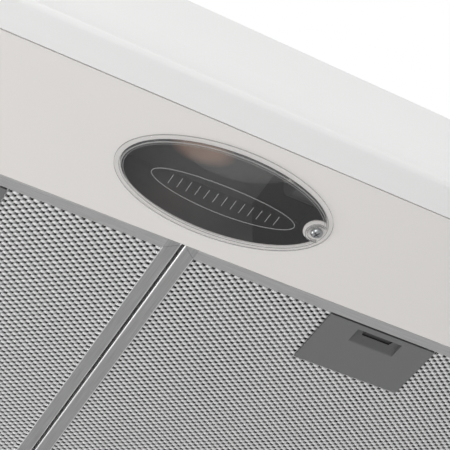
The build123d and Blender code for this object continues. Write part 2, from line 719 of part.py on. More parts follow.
def lamp_lens():
    a = LENS_A - LENS_RIM
    b = LENS_B - LENS_RIM - LENS_SHORT_RIM
    skin = LENS_WALL
    bottom = UNDER - LENS_FLANGE
    low = (UNDER - 20, bottom)
    outer = lens_ellipsoid(a, b, LENS_DOME)
    dome = outer - lens_ellipsoid(a - skin, b - skin, LENS_DOME - skin)
    dome -= rod(LENS_SCREW_X, LAMP_Y, low, NOTCH_R)
    dome += tube(LENS_SCREW_X, LAMP_Y, low, NOTCH_R, NOTCH_R - BOSS_WALL) & outer
    flange = oval(LENS_A, LENS_B, (bottom, UNDER)) - oval(a - skin, b - skin, (bottom - 1, UNDER + 1))
    flange += rod(LENS_SCREW_X, LAMP_Y, (bottom, UNDER), NOTCH_R) & oval(LENS_A, LENS_B, (bottom, UNDER))
    wall_a = LENS_A - LENS_TO_HOLE - LENS_FIT
    wall_b = LENS_B - LENS_TO_HOLE - LENS_FIT
    wall_z = (bottom, up(LENS_WALL_TALL))
    wall = oval(wall_a, wall_b, wall_z) - oval(wall_a - skin, wall_b - skin, wall_z)
    wall -= rod(LENS_SCREW_X, LAMP_Y, (UNDER, up(LENS_WALL_TALL + 1.0)), NOTCH_R + LENS_SEAT + LENS_FIT)
    lens = flange + dome + wall
    return lens - rod(LENS_SCREW_X, LAMP_Y, (bottom - 1, UNDER + 1), LENS_SCREW_R + 0.2)


def lens_screw():
    size = (LENS_SCREW_LENGTH, LENS_SCREW_R, LENS_SCREW_HEAD_R)
    return screw_up(LENS_SCREW_X, LAMP_Y, UNDER - LENS_FLANGE, *size)


LAMP_LEFT = LAMP_X - LENS_A - LAMP_BOX_SPARE / 2
LAMP_RIGHT = LAMP_X + LENS_A + LAMP_BOX_SPARE / 2
BULB_AXIS = (LAMP_Y - BULB_Y, up(BULB_HEIGHT))
SOCKET_FRONT = LAMP_RIGHT - SHEET - SOCKET_LENGTH


def lamp_housing():
    x = (LAMP_LEFT, LAMP_RIGHT)
    y = (LAMP_Y - LAMP_BOX_FRONT, LAMP_Y + LAMP_BOX_REAR)
    z = (UNDER + SHEET, up(LAMP_BOX_HEIGHT) + SHEET)
    box = block(x, y, z)
    inside_y = (y[0] + SHEET, y[1] - SHEET)
    box -= block((x[0] + SHEET, x[1] - SHEET), inside_y, (z[0] - 1, z[1] - SHEET))
    foot = block((x[0] - LAMP_BOX_FOOT, x[1] + LAMP_BOX_FOOT), y, (z[0], z[0] + SHEET))
    foot -= block(x, y, (z[0] - 1, z[0] + 2))
    box += foot
    return box - rod_x((x[1] - 3, x[1] + 3), BULB_AXIS[0], BULB_AXIS[1], LEAD_R)


def lamp_reflector():
    x = (LAMP_LEFT + SHEET + REFLECTOR_PLAY, SOCKET_FRONT - 2 * REFLECTOR_PLAY)
    rear = LAMP_Y + LAMP_BOX_REAR - SHEET
    ceiling = up(LAMP_BOX_HEIGHT)
    t = REFLECTOR_SHEET
    front = LAMP_Y - LAMP_BOX_FRONT + SHEET + REFLECTOR_PLAY
    sheet = block(x, (front, rear), (ceiling - t, ceiling))
    return sheet + block(x, (rear - t, rear), (up(3.0), ceiling))


def lamp_socket():
    y, z = BULB_AXIS
    x = (SOCKET_FRONT, LAMP_RIGHT - SHEET)
    socket = rod_x(x, y, z, SOCKET_R)
    socket -= rod_x((x[0] - 1, x[0] + CAP_LENGTH + CAP_PROUD), y, z, BULB_NECK_R + THREAD_HEIGHT + 0.2)
    return socket + rod_x((x[1] - SOCKET_FOOT, x[1]), y, z, SOCKET_R + SOCKET_FOOT_RIM)


def lamp_cap():
    y, z = BULB_AXIS
    x0 = SOCKET_FRONT - CAP_PROUD
    cap = rod_x((x0, x0 + CAP_LENGTH), y, z, BULB_NECK_R)
    for i in range(5):
        thread = x0 + THREAD_PITCH * (i + 1)
        cap += rod_x((thread, thread + THREAD_WIDTH), y, z, BULB_NECK_R + THREAD_HEIGHT)
    tip = rod_x((x0 + CAP_LENGTH, x0 + CAP_LENGTH + CAP_TIP), y, z, CAP_TIP)
    return cap + tip


def lamp_bulb():
    y, z = BULB_AXIS
    neck = SOCKET_FRONT - CAP_PROUD
    widest = neck - BULB_LENGTH + BULB_R + 6.0
    tip = neck - BULB_LENGTH
    line = Line((tip, 0), (neck, 0))
    line += Line((neck, 0), (neck, BULB_NECK_R))
    line += Spline((neck, BULB_NECK_R), (widest, BULB_R), (tip, 0), tangents=((-1, 0.5), (0, -1)))
    glass = revolve(make_face(line), Axis.X)
    return Pos(0, y, z) * glass


# ---------------------------------------------------------------- blower

def spiral_r(angle):
    """Scroll radius, growing evenly from the tongue round to the outlet."""
    share = (angle - TONGUE_ANGLE) / (360.0 - TONGUE_ANGLE)
    return SCROLL_START_R + (SCROLL_END_R - SCROLL_START_R) * share


def spiral_point(angle, inset):
    r = spiral_r(angle) - inset
    return (BLOWER_X + r * cos(radians(angle)), BLOWER_Y + r * sin(radians(angle)))


def scroll_outline(inset):
    """Plan of the scroll and its outlet chamber, drawn inside by inset."""
    left = inset - CHAMBER_HALF
    right = CHAMBER_HALF - inset
    start = degrees(acos((left - BLOWER_X) / (SCROLL_START_R - inset)))
    step = (360.0 - start) / 8
    points = [spiral_point(start + step * i, inset) for i in range(9)]
    far = COLLAR_Y + COLLAR_R + 3.0 - inset
    line = ThreePointArc(*points[0:3])
    for i in (2, 4, 6):
        line += ThreePointArc(*points[i:i + 3])
    line += Line(points[8], (right, far))
    line += Line((right, far), (left, far))
    line += Line((left, far), points[0])
    return make_face(line)


def scroll_slab(inset, low, high):
    return Pos(0, 0, up(low)) * extrude(scroll_outline(inset), high - low, dir=(0, 0, 1))


def scroll_rim(low, high):
    """Flange round the joint between the two scroll halves."""
    inner = scroll_slab(SCROLL_WALL / 2, low - 1, high + 1)
    return scroll_slab(-SCROLL_FLANGE, low, high) - inner


def pillar_places():
    places = [spiral_point(a, -PILLAR_OUT) for a in (225.0, 315.0)]
    far = COLLAR_Y + COLLAR_R - 10.0
    return places + [(-CHAMBER_HALF - PILLAR_OUT, far), (CHAMBER_HALF + PILLAR_OUT, far)]


def clamp_places():
    places = [spiral_point(a, -CLAMP_OUT) for a in (110.0, 180.0, 250.0, 340.0)]
    side = COLLAR_Y - 20.0
    return places + [(-CHAMBER_HALF - CLAMP_OUT, side), (CHAMBER_HALF + CLAMP_OUT, side)]


def grille_screw_places():
    r = INLET_R + GRILLE_SCREW_OUT
    return [(BLOWER_X + r * c, BLOWER_Y + r * s) for c, s in around(3)]


def mount_places():
    return [(BLOWER_X + MOTOR_MOUNT_R * c, BLOWER_Y + MOTOR_MOUNT_R * s) for c, s in around(3)]


def scroll_lower():
    body = scroll_slab(0.0, SCROLL_BOTTOM, SCROLL_SPLIT)
    body -= scroll_slab(SCROLL_WALL, SCROLL_BOTTOM + SCROLL_WALL, SCROLL_SPLIT + 1)
    body += scroll_rim(SCROLL_SPLIT - JOINT_RIM, SCROLL_SPLIT)
    lip = (up(SCROLL_BOTTOM + 1), up(SCROLL_BOTTOM + 6))
    body += tube(BLOWER_X, BLOWER_Y, lip, INLET_R + INLET_LIP, INLET_R)
    body -= rod(BLOWER_X, BLOWER_Y, (up(SCROLL_BOTTOM - 1), up(SCROLL_BOTTOM + 3)), INLET_R)
    for x, y in clamp_places():
        body -= rod(x, y, (up(SCROLL_SPLIT - 3), up(SCROLL_SPLIT + 1)), SHORT_SCREW_R)
    for x, y in grille_screw_places():
        body -= rod(x, y, (up(SCROLL_BOTTOM - 1), up(SCROLL_BOTTOM + 3)), SHORT_SCREW_R)
    return body


def scroll_upper():
    body = scroll_slab(0.0, SCROLL_SPLIT, SCROLL_TOP)
    body -= scroll_slab(SCROLL_WALL, SCROLL_SPLIT - 1, SCROLL_TOP - SCROLL_WALL)
    body += scroll_rim(SCROLL_SPLIT, SCROLL_SPLIT + JOINT_RIM)
    body += rod(0, COLLAR_Y, (up(SCROLL_TOP - 1), up(SCROLL_TOP + 7)), COLLAR_R + 2.5)
    for x, y in pillar_places():
        body += rod(x, y, (up(SCROLL_TOP - PILLAR_TALL), ROOF), PILLAR_R)
    body -= rod(0, COLLAR_Y, (up(SCROLL_TOP - 3), up(SCROLL_TOP + 1)), COLLAR_R - COLLAR_WALL)
    body -= rod(0, COLLAR_Y, (up(SCROLL_TOP), up(SCROLL_TOP + 8)), COLLAR_R + 0.5)
    body -= rod(BLOWER_X, BLOWER_Y, (up(SCROLL_TOP - 3), up(SCROLL_TOP + 1)), STATOR_R + MOTOR_HOLE_PLAY)
    for x, y in mount_places():
        body += rod(x, y, (up(SCROLL_TOP - SCROLL_WALL), up(SCROLL_TOP)), MOUNT_PAD_R)
        body -= rod(x, y, (up(SCROLL_TOP - 3), up(SCROLL_TOP + 1)), GROMMET_NECK_R)
    for x, y in clamp_places():
        body -= rod(x, y, (up(SCROLL_SPLIT - 1), up(SCROLL_SPLIT + 3)), SHORT_SCREW_R + 0.1)
    for x, y in pillar_places():
        body -= rod(x, y, (up(SCROLL_TOP - PILLAR_TALL - 1), 0.0), SCREW_R + 0.2)
    return body


def short_screws():
    """Identical self tapping screws of the scroll joint, the grille and the collar."""
    size = (SHORT_SCREW_LENGTH, SHORT_SCREW_R, SHORT_SCREW_HEAD_R)
    screws = [screw_down(x, y, up(SCROLL_SPLIT + JOINT_RIM), *size) for x, y in clamp_places()]
    screws += [screw_up(x, y, up(SCROLL_BOTTOM - GRILLE_SHEET), *size) for x, y in grille_screw_places()]
    screws += [screw_up(x, y, ROOF - COLLAR_FLANGE, *size) for x, y in collar_screw_places()]
    return screws


def scroll_screws():
    z = up(SCROLL_TOP - PILLAR_TALL)
    return [screw_up(x, y, z, -SHEET / 4 - z) for x, y in pillar_places()]


def inlet_grille():
    z = (up(SCROLL_BOTTOM - GRILLE_SHEET), up(SCROLL_BOTTOM))
    grille = tube(BLOWER_X, BLOWER_Y, z, INLET_R + GRILLE_RIM, INLET_R - 2)
    for r in GRILLE_RINGS:
        grille += tube(BLOWER_X, BLOWER_Y, z, r + GRILLE_WIRE, r - GRILLE_WIRE)
    for i in range(3):
        spoke = Pos(BLOWER_X, BLOWER_Y, (z[0] + z[1]) / 2) * Rot(0, 0, 30 + 60 * i)
        grille += spoke * Box(2 * INLET_R, GRILLE_SPOKE, GRILLE_SHEET)
    for x, y in grille_screw_places():
        grille -= rod(x, y, (z[0] - 1, z[1] + 1), SHORT_SCREW_R + 0.1)
    return grille


def impeller():
    x, y = BLOWER_X, BLOWER_Y
    wheel = tube(x, y, (up(IMPELLER_BOTTOM), up(IMPELLER_BOTTOM + 2)), IMPELLER_R, BLADE_INNER_R)
    wheel += tube(x, y, (up(IMPELLER_TOP - 2), up(IMPELLER_TOP)), IMPELLER_R, CUP_R - CUP_WALL)
    wheel += tube(x, y, (up(CUP_FLOOR), up(IMPELLER_TOP - 1)), CUP_R, CUP_R - CUP_WALL)
    wheel += tube(x, y, (up(CUP_FLOOR), up(CUP_FLOOR + 2)), CUP_R - 1, SHAFT_R)
    wheel += tube(x, y, (up(CUP_FLOOR - 4), up(CUP_FLOOR + 2)), 9.0, SHAFT_R)
    mid = (BLADE_INNER_R + IMPELLER_R) / 2
    tall = IMPELLER_TOP - IMPELLER_BOTTOM - 2
    long = IMPELLER_R - BLADE_INNER_R - 1.5
    blade = Pos(mid, 0, 0) * Rot(0, 0, BLADE_ANGLE) * Box(long, BLADE_THICK, tall)
    z = up((IMPELLER_TOP + IMPELLER_BOTTOM) / 2)
    blades = [Pos(x, y, z) * Rot(0, 0, 360 * i / BLADE_COUNT) * blade for i in range(BLADE_COUNT)]
    return wheel + blades


def impeller_nut():
    z = (up(CUP_FLOOR - 4 - NUT_TALL), up(CUP_FLOOR - 4))
    nut = Pos(BLOWER_X, BLOWER_Y, z[0]) * extrude(RegularPolygon(NUT_R, 6), z[1] - z[0])
    return nut - rod(BLOWER_X, BLOWER_Y, (z[0] - 1, z[1] + 1), SHAFT_R)


def motor_shaft():
    return rod(BLOWER_X, BLOWER_Y, (up(CUP_FLOOR - 10.5), up(MOTOR_TOP + 1)), SHAFT_R)


def motor_rotor():
    x, y = BLOWER_X, BLOWER_Y
    core = tube(x, y, (up(CORE_BOTTOM), up(CORE_TOP)), ROTOR_R, SHAFT_R)
    for z in (CORE_BOTTOM - END_RING, CORE_TOP):
        core += tube(x, y, (up(z), up(z + END_RING)), ROTOR_R - 1.5, ROTOR_R - 7)
    return core


def motor_stator():
    x, y = BLOWER_X, BLOWER_Y
    core = tube(x, y, (up(CORE_BOTTOM), up(CORE_TOP)), STATOR_R, ROTOR_R + AIR_GAP)
    for c, s in around(SLOT_COUNT, 0.0):
        slot = (ROTOR_R + SLOT_OUT) * c + x, (ROTOR_R + SLOT_OUT) * s + y
        core -= rod(slot[0], slot[1], (up(CORE_BOTTOM - 1), up(CORE_TOP + 1)), SLOT_R)
    return core


def motor_windings():
    x, y = BLOWER_X, BLOWER_Y
    inner = ROTOR_R + 3.0
    coils = tube(x, y, (up(CORE_BOTTOM - WINDING_TALL), up(CORE_BOTTOM)), STATOR_R - 5, inner)
    coils += tube(x, y, (up(CORE_TOP), up(CORE_TOP + WINDING_TALL)), STATOR_R - 5, inner)
    for c, s in around(SLOT_COUNT, 0.0):
        slot = (ROTOR_R + SLOT_OUT) * c + x, (ROTOR_R + SLOT_OUT) * s + y
        coils += rod(slot[0], slot[1], (up(CORE_BOTTOM - 1), up(CORE_TOP + 1)), SLOT_R - SLOT_FILL)
    return coils


def bearing_seat(z):
    """Bore that a motor bush sits in."""
    return rod(BLOWER_X, BLOWER_Y, (up(z), up(z + BUSH_LENGTH)), BUSH_R)


def motor_cap_lower():
    x, y = BLOWER_X, BLOWER_Y
    wall = MOTOR_WALL
    cap = rod(x, y, (up(MOTOR_BOTTOM), up(CORE_BOTTOM + 9)), STATOR_R + wall)
    cap -= rod(x, y, (up(MOTOR_BOTTOM + wall), up(CORE_BOTTOM + 10)), STATOR_R)
    cap += rod(x, y, (up(MOTOR_BOTTOM), up(MOTOR_BOTTOM + 7)), BUSH_R + HUB_WALL)
    cap -= bearing_seat(MOTOR_BOTTOM + 1)
    return cap - rod(x, y, (up(MOTOR_BOTTOM - 1), up(MOTOR_BOTTOM + 8)), SHAFT_R + 0.5)


def motor_cap_upper():
    x, y = BLOWER_X, BLOWER_Y
    wall = MOTOR_WALL
    cap = rod(x, y, (up(CORE_TOP - 9), up(MOTOR_TOP)), STATOR_R + wall)
    for px, py in mount_places():
        cap += rod(px, py, (up(MOTOR_TOP - MOUNT_EAR), up(MOTOR_TOP)), MOUNT_EAR_R)
    bridge = STATOR_R + MOUNT_BRIDGE_R
    for c, s in around(3):
        ear_z = (up(MOTOR_TOP - MOUNT_EAR), up(MOTOR_TOP))
        cap += rod(x + bridge * c, y + bridge * s, ear_z, MOUNT_BRIDGE_R)
    cap -= rod(x, y, (up(CORE_TOP - 10), up(MOTOR_TOP - MOUNT_EAR)), STATOR_R)
    cap += rod(x, y, (up(MOTOR_TOP - 8), up(MOTOR_TOP)), BUSH_R + HUB_WALL)
    cap -= bearing_seat(MOTOR_TOP - 7)
    cap -= rod(x, y, (up(MOTOR_TOP - 9), up(MOTOR_TOP + 1)), SHAFT_R + 0.5)
    for px, py in mount_places():
        cap -= rod(px, py, (up(MOTOR_TOP - 4), up(MOTOR_TOP + 1)), SCREW_R)
    return cap


def motor_bushes():
    bushes = []
    for z in (MOTOR_BOTTOM + 1, MOTOR_TOP - 7):
        bore = rod(BLOWER_X, BLOWER_Y, (up(z - 1), up(z + BUSH_LENGTH + 1)), SHAFT_R + BUSH_CLEARANCE)
        bushes.append(bearing_seat(z) - bore)
    return bushes


def motor_grommets():
    grommets = []
    for x, y in mount_places():
        ring = rod(x, y, (up(MOTOR_TOP), up(SCROLL_TOP + GROMMET_HEAD)), GROMMET_R)
        groove = (up(SCROLL_TOP - SCROLL_WALL), up(SCROLL_TOP))
        ring -= tube(x, y, groove, GROMMET_R + 1.0, GROMMET_NECK_R)
        grommets.append(ring - rod(x, y, (up(MOTOR_TOP - 1), up(SCROLL_TOP + 4)), SCREW_R + 0.2))
    return grommets


def motor_screws():
    z = up(SCROLL_TOP + GROMMET_HEAD)
    length = SCROLL_TOP + GROMMET_HEAD - MOTOR_TOP + MOUNT_GRIP
    return [screw_down(x, y, z, length, SCREW_R, MOUNT_HEAD_R) for x, y in mount_places()]


# ---------------------------------------------------------------- duct collar

ACROSS_COLLAR = (-COLLAR_R - 10, COLLAR_R + 10)


def duct_collar():
    inner = COLLAR_R - COLLAR_WALL
    collar = rod(0, COLLAR_Y, (ROOF - COLLAR_SKIRT, COLLAR_HEIGHT), COLLAR_R)
    collar += rod(0, COLLAR_Y, (ROOF - COLLAR_FLANGE, ROOF), COLLAR_R + COLLAR_FLANGE_REACH)
    collar -= rod(0, COLLAR_Y, (ROOF - COLLAR_SKIRT - 1, COLLAR_HEIGHT + 1), inner)
    top = FLAP_PIN_Z - FLAP_THICK / 2 - 0.3
    ledge = tube(0, COLLAR_Y, (top - 1.2, top), inner + 0.5, inner - 2.0)
    ledge -= block(ACROSS_COLLAR, (COLLAR_Y - 7, COLLAR_Y + 7), (top - 2, top + 2))
    collar += ledge
    collar -= rod_x(ACROSS_COLLAR, COLLAR_Y, FLAP_PIN_Z, FLAP_PIN_R)
    for x, y in collar_screw_places():
        collar -= rod(x, y, (ROOF - 5, ROOF + 1), SHORT_SCREW_R + 0.1)
    return collar


def collar_screw_places():
    r = COLLAR_R + COLLAR_SCREW_OUT
    return [(r * c, COLLAR_Y + r * s) for c, s in around(4, 45.0)]


def flap_pin():
    return rod_x((-COLLAR_R, COLLAR_R), COLLAR_Y, FLAP_PIN_Z, FLAP_PIN_R)


def flap(side):
    """Half disc on its own two knuckles; side is -1 for the front one."""
    z = (FLAP_PIN_Z - FLAP_THICK / 2, FLAP_PIN_Z + FLAP_THICK / 2)
    disc = rod(0, COLLAR_Y, z, COLLAR_R - COLLAR_WALL - FLAP_EDGE_GAP)
    start = KNUCKLE_R + 0.6
    half = sorted((COLLAR_Y + side * start, COLLAR_Y + side * COLLAR_R))
    blade = disc & block(ACROSS_COLLAR, half, z)
    for centre in (-side * KNUCKLE_FAR, side * KNUCKLE_NEAR):
        x = (centre - KNUCKLE_LENGTH / 2, centre + KNUCKLE_LENGTH / 2)
        blade += rod_x(x, COLLAR_Y, FLAP_PIN_Z, KNUCKLE_R)
        web = sorted((COLLAR_Y + side * 1.0, COLLAR_Y + side * (start + 1.0)))
        blade += block(x, web, z)
    return blade - rod_x(ACROSS_COLLAR, COLLAR_Y, FLAP_PIN_Z, FLAP_PIN_R + FLAP_CLEARANCE)


# ---------------------------------------------------------------- electrics

TERMINAL_LOW = ROOF - TERMINAL_SIZE[2]


def terminal_box():
    sx, sy, _ = TERMINAL_SIZE
    x = (TERMINAL_X - sx / 2, TERMINAL_X + sx / 2)
    y = (TERMINAL_Y - sy / 2, TERMINAL_Y + sy / 2)
    box = block(x, y, (TERMINAL_LOW, ROOF))
    w = SCROLL_WALL
    box -= block((x[0] + w, x[1] - w), (y[0] + w, y[1] - w), (TERMINAL_LOW - 1, ROOF - w))
    box -= rod(TERMINAL_X, TERMINAL_Y, (ROOF - 5, ROOF + 1), GLAND_R - 1.0)
    return box - rod_y(TERMINAL_X, (y[0] - 1, y[0] + 5), up(LEAD_HEIGHT), LEAD_R)


def terminal_cover():
    sx, sy, _ = TERMINAL_SIZE
    x = (TERMINAL_X - sx / 2, TERMINAL_X + sx / 2)
    y = (TERMINAL_Y - sy / 2, TERMINAL_Y + sy / 2)
    lid = block(x, y, (TERMINAL_LOW - SCROLL_WALL, TERMINAL_LOW))
    w = SCROLL_WALL + 0.2
    plug = block((x[0] + w, x[1] - w), (y[0] + w, y[1] - w), (TERMINAL_LOW, TERMINAL_LOW + 3))
    hollow_y = (y[0] + 2 * w, y[1] - 2 * w)
    plug -= block((x[0] + 2 * w, x[1] - 2 * w), hollow_y, (TERMINAL_LOW, TERMINAL_LOW + 4))
    return lid + plug


def terminal_block():
    base = (TERMINAL_Y + BLOCK_START, TERMINAL_Y + BLOCK_START + BLOCK_SIZE)
    low = ROOF - SCROLL_WALL - BLOCK_SIZE
    body = block((TERMINAL_X - BLOCK_HALF, TERMINAL_X + BLOCK_HALF), base, (low, ROOF - SCROLL_WALL))
    for i in (-1, 0, 1):
        x = TERMINAL_X + BLOCK_PITCH * i
        for y in (base[0] + 4.5, base[1] - 4.5):
            body -= rod(x, y, (low - 1, low + 8), BLOCK_BORE_R)
    return body


def cable_gland():
    x, y = TERMINAL_X, TERMINAL_Y
    gland = rod(x, y, (ROOF - SCROLL_WALL - 6, 2.0), GLAND_R - 1.0)
    gland += Pos(x, y, ROOF) * extrude(RegularPolygon(GLAND_HEX_R, 6), GLAND_HEX)
    gland += rod(x, y, (ROOF + GLAND_HEX - 1.0, GLAND_HEIGHT), GLAND_R)
    nut = Pos(x, y, ROOF - SCROLL_WALL - GLAND_HEX)
    gland += nut * extrude(RegularPolygon(GLAND_HEX_R - 1.0, 6), GLAND_HEX)
    return gland - rod(x, y, (ROOF - 12, GLAND_HEIGHT + 1), GLAND_BORE_R)


CAPACITOR_Y = BLOWER_Y + CAPACITOR_TO_BLOWER
CAPACITOR_Z = ROOF - CAPACITOR_R - 2.0


def capacitor():
    x, y = CAPACITOR_X, CAPACITOR_Y
    body = rod_y(x, (y, y + CAPACITOR_LENGTH), CAPACITOR_Z, CAPACITOR_R)
    half = CAPACITOR_TAG / 2
    tag_z = (CAPACITOR_Z - 0.4, CAPACITOR_Z + 0.4)
    for tag_x in (x - CAPACITOR_TAG, x + CAPACITOR_TAG):
        body += block((tag_x - half, tag_x + half), (y - 8, y + 1), tag_z)
    return body


def capacitor_strap():
    x = CAPACITOR_X
    span = (CAPACITOR_Y + STRAP_START, CAPACITOR_Y + STRAP_START + STRAP_WIDTH)
    outer = CAPACITOR_R + STRAP_SHEET
    foot = outer + STRAP_EAR - 1.0
    ring = rod_y(x, span, CAPACITOR_Z, outer)
    ring += block((x - outer, x + outer), span, (CAPACITOR_Z, ROOF - STRAP_SHEET))
    ring += block((x - foot, x + foot), span, (ROOF - STRAP_SHEET, ROOF))
    ring -= rod_y(x, (span[0] - 1, span[1] + 1), CAPACITOR_Z, CAPACITOR_R)
    inside = (x - CAPACITOR_R, x + CAPACITOR_R)
    return ring - block(inside, (span[0] - 1, span[1] + 1), (CAPACITOR_Z, ROOF - STRAP_SHEET))


def supply_lead():
    start = TERMINAL_Y - TERMINAL_SIZE[1] / 2 + SCROLL_WALL
    end = BEZEL_REAR + SWITCH_DEPTH
    lane = up(LEAD_HEIGHT)
    points = [(TERMINAL_X, start, lane), (TERMINAL_X, FILTER_Y + 80, lane)]
    points += [(TERMINAL_X, FILTER_Y, up(PANEL_HEIGHT)), (TERMINAL_X, end, up(PANEL_HEIGHT))]
    return lead(points, 60)


def motor_lead():
    end = BEZEL_REAR + SWITCH_DEPTH
    x = PANEL_X - BUTTON_PITCH
    lane = up(SCROLL_TOP + 9.5)
    y = BLOWER_Y - 5
    points = [(x, end, up(PANEL_HEIGHT)), (x, FILTER_Y - 15, up(PANEL_HEIGHT))]
    points += [(x, y - 45, lane), (x, y, lane)]
    points += [(BLOWER_X + 22, y, lane), (BLOWER_X + 22, y, up(MOTOR_TOP))]
    return lead(points, 9)


def lamp_lead():
    y, z = BULB_AXIS
    x = PANEL_X - PANEL_WIDTH / 2 + 6
    end = BEZEL_REAR + SWITCH_DEPTH
    points = [(x, end, up(PANEL_HEIGHT)), (x, end + 22, up(PANEL_HEIGHT)), (x - 20, end + 22, z)]
    points += [(LAMP_RIGHT + 15, y, z), (LAMP_RIGHT - SHEET, y, z)]
    return lead(points, 8)


# ---------------------------------------------------------------- write the pieces

def pieces():
    parts = {
        "casing": casing(),
        "rear_rail": rear_rail(),
        "lamp_panel": lamp_panel(),
        "front_fascia": fascia(),
        "fascia_screws": fascia_screws(),
        "control_bezel": control_bezel(),
        "switch_block": switch_block(),
        "lamp_housing": lamp_housing(),
        "lamp_reflector": lamp_reflector(),
        "lamp_socket": lamp_socket(),
        "lamp_cap": lamp_cap(),
        "lamp_bulb": lamp_bulb(),
        "lamp_lens": lamp_lens(),
        "lens_screw": lens_screw(),
        "scroll_lower": scroll_lower(),
        "scroll_upper": scroll_upper(),
        "short_screws": short_screws(),
        "scroll_screws": scroll_screws(),
        "inlet_grille": inlet_grille(),
        "impeller": impeller(),
        "impeller_nut": impeller_nut(),
        "motor_shaft": motor_shaft(),
        "motor_rotor": motor_rotor(),
        "motor_stator": motor_stator(),
        "motor_windings": motor_windings(),
        "motor_cap_lower": motor_cap_lower(),
        "motor_cap_upper": motor_cap_upper(),
        "motor_bushes": motor_bushes(),
        "motor_grommets": motor_grommets(),
        "motor_screws": motor_screws(),
        "duct_collar": duct_collar(),
        "flap_pin": flap_pin(),
        "flap_front": flap(-1),
        "flap_rear": flap(1),
        "terminal_box": terminal_box(),
        "terminal_cover": terminal_cover(),
        "terminal_block": terminal_block(),
        "cable_gland": cable_gland(),
        "capacitor": capacitor(),
        "capacitor_strap": capacitor_strap(),
        "internal_leads": [supply_lead(), motor_lead(), lamp_lead()],
        "button_springs": [button_spring(i) for i in range(len(BUTTON_NAMES))],
    }
    for i, name in enumerate(BUTTON_NAMES):
        parts["button_" + name] = button(i)
    for name, side in (("left", -1), ("right", 1)):
        parts["filter_frame_" + name] = filter_frame(side)
        parts["filter_mesh_" + name] = filter_layer(side, MESH_RECESS, MESH_RECESS + MESH_FACE)
        parts["filter_core_" + name] = filter_core(side)
        parts["filter_tabs_" + name] = filter_tabs(side)
        parts["latch_plate_" + name] = latch_plate(side)
        parts["latch_slider_" + name] = latch_slider(side)
        parts["latch_spring_" + name] = latch_spring(side)
    return parts


os.makedirs("parts", exist_ok=True)
for name, shape in pieces().items():
    if isinstance(shape, list):
        shape = Compound(children=shape)
    export_step(shape, "parts/" + name + ".step")
    print(name, len(shape.solids()), round(shape.volume, 1))
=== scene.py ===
# %% [markdown]
# # An under cabinet range hood, seen from below
# The hood hangs under a wall cabinet, so most people only ever see its underside: a white
# lamp panel, a clear oval lamp cover and two aluminium grease filters. The solid parts come
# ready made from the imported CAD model, and this lesson adds what makes them look real. The
# model is loaded first, because every place and size below is read from it.

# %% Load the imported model
import json
import math

import bmesh
import bpy
from mathutils import Matrix, Vector


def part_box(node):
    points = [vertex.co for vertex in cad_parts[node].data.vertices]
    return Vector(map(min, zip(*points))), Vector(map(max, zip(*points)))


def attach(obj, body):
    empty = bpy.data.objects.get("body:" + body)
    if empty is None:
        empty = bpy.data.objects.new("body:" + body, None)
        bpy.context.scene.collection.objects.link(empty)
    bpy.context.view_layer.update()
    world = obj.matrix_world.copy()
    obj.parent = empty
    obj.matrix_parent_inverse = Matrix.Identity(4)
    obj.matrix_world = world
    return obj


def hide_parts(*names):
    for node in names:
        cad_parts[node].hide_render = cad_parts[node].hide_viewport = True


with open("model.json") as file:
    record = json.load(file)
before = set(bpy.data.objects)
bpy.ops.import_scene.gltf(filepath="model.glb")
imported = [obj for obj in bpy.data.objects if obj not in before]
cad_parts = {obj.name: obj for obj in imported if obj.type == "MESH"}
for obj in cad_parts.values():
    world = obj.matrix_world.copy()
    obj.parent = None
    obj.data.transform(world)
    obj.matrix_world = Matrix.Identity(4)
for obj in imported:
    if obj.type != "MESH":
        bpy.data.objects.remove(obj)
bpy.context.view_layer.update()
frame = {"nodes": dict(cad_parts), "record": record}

MM = 0.001
NODES = frame["nodes"]
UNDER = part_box("lamp_panel")[0].z
print("nodes", len(NODES), "underside at", round(UNDER / MM, 1), "mm")

# %% [markdown]
# ## A small language for materials
# A material in Blender is a graph of nodes. Wiring every node by hand takes many lines, so
# `Wire` wraps one socket and turns Python arithmetic into Math nodes: `1 - mask * 0.5` adds
# two nodes and their links.

# %% Wires
class Wire:
    """One output socket; arithmetic on it adds Math nodes to its material."""

    def __init__(self, finish, socket):
        self.finish = finish
        self.socket = socket

    def math(self, operation, *sockets):
        return self.finish.node("ShaderNodeMath", {"operation": operation}, dict(enumerate(sockets)))

    def __add__(self, other):
        return self.math("ADD", self, other)

    def __radd__(self, other):
        return self.math("ADD", other, self)

    def __sub__(self, other):
        return self.math("SUBTRACT", self, other)

    def __rsub__(self, other):
        return self.math("SUBTRACT", other, self)

    def __mul__(self, other):
        return self.math("MULTIPLY", self, other)

    def __rmul__(self, other):
        return self.math("MULTIPLY", other, self)

    def __abs__(self):
        return self.math("ABSOLUTE", self)

    def ramp(self, low, high):
        """0 at low, 1 at high, smooth between and held outside."""
        return self.finish.node("ShaderNodeMapRange", {"interpolation_type": "SMOOTHSTEP"},
                                {"Value": self, "From Min": low, "From Max": high})


print("wires ready")

# %% [markdown]
# `Finish` starts a material and has one method, `node`, that makes every kind of node: its
# settings are set first, and then its sockets are given values or links. The other methods
# are short names for what many finishes share, such as noise, a mix of two colours or bump.

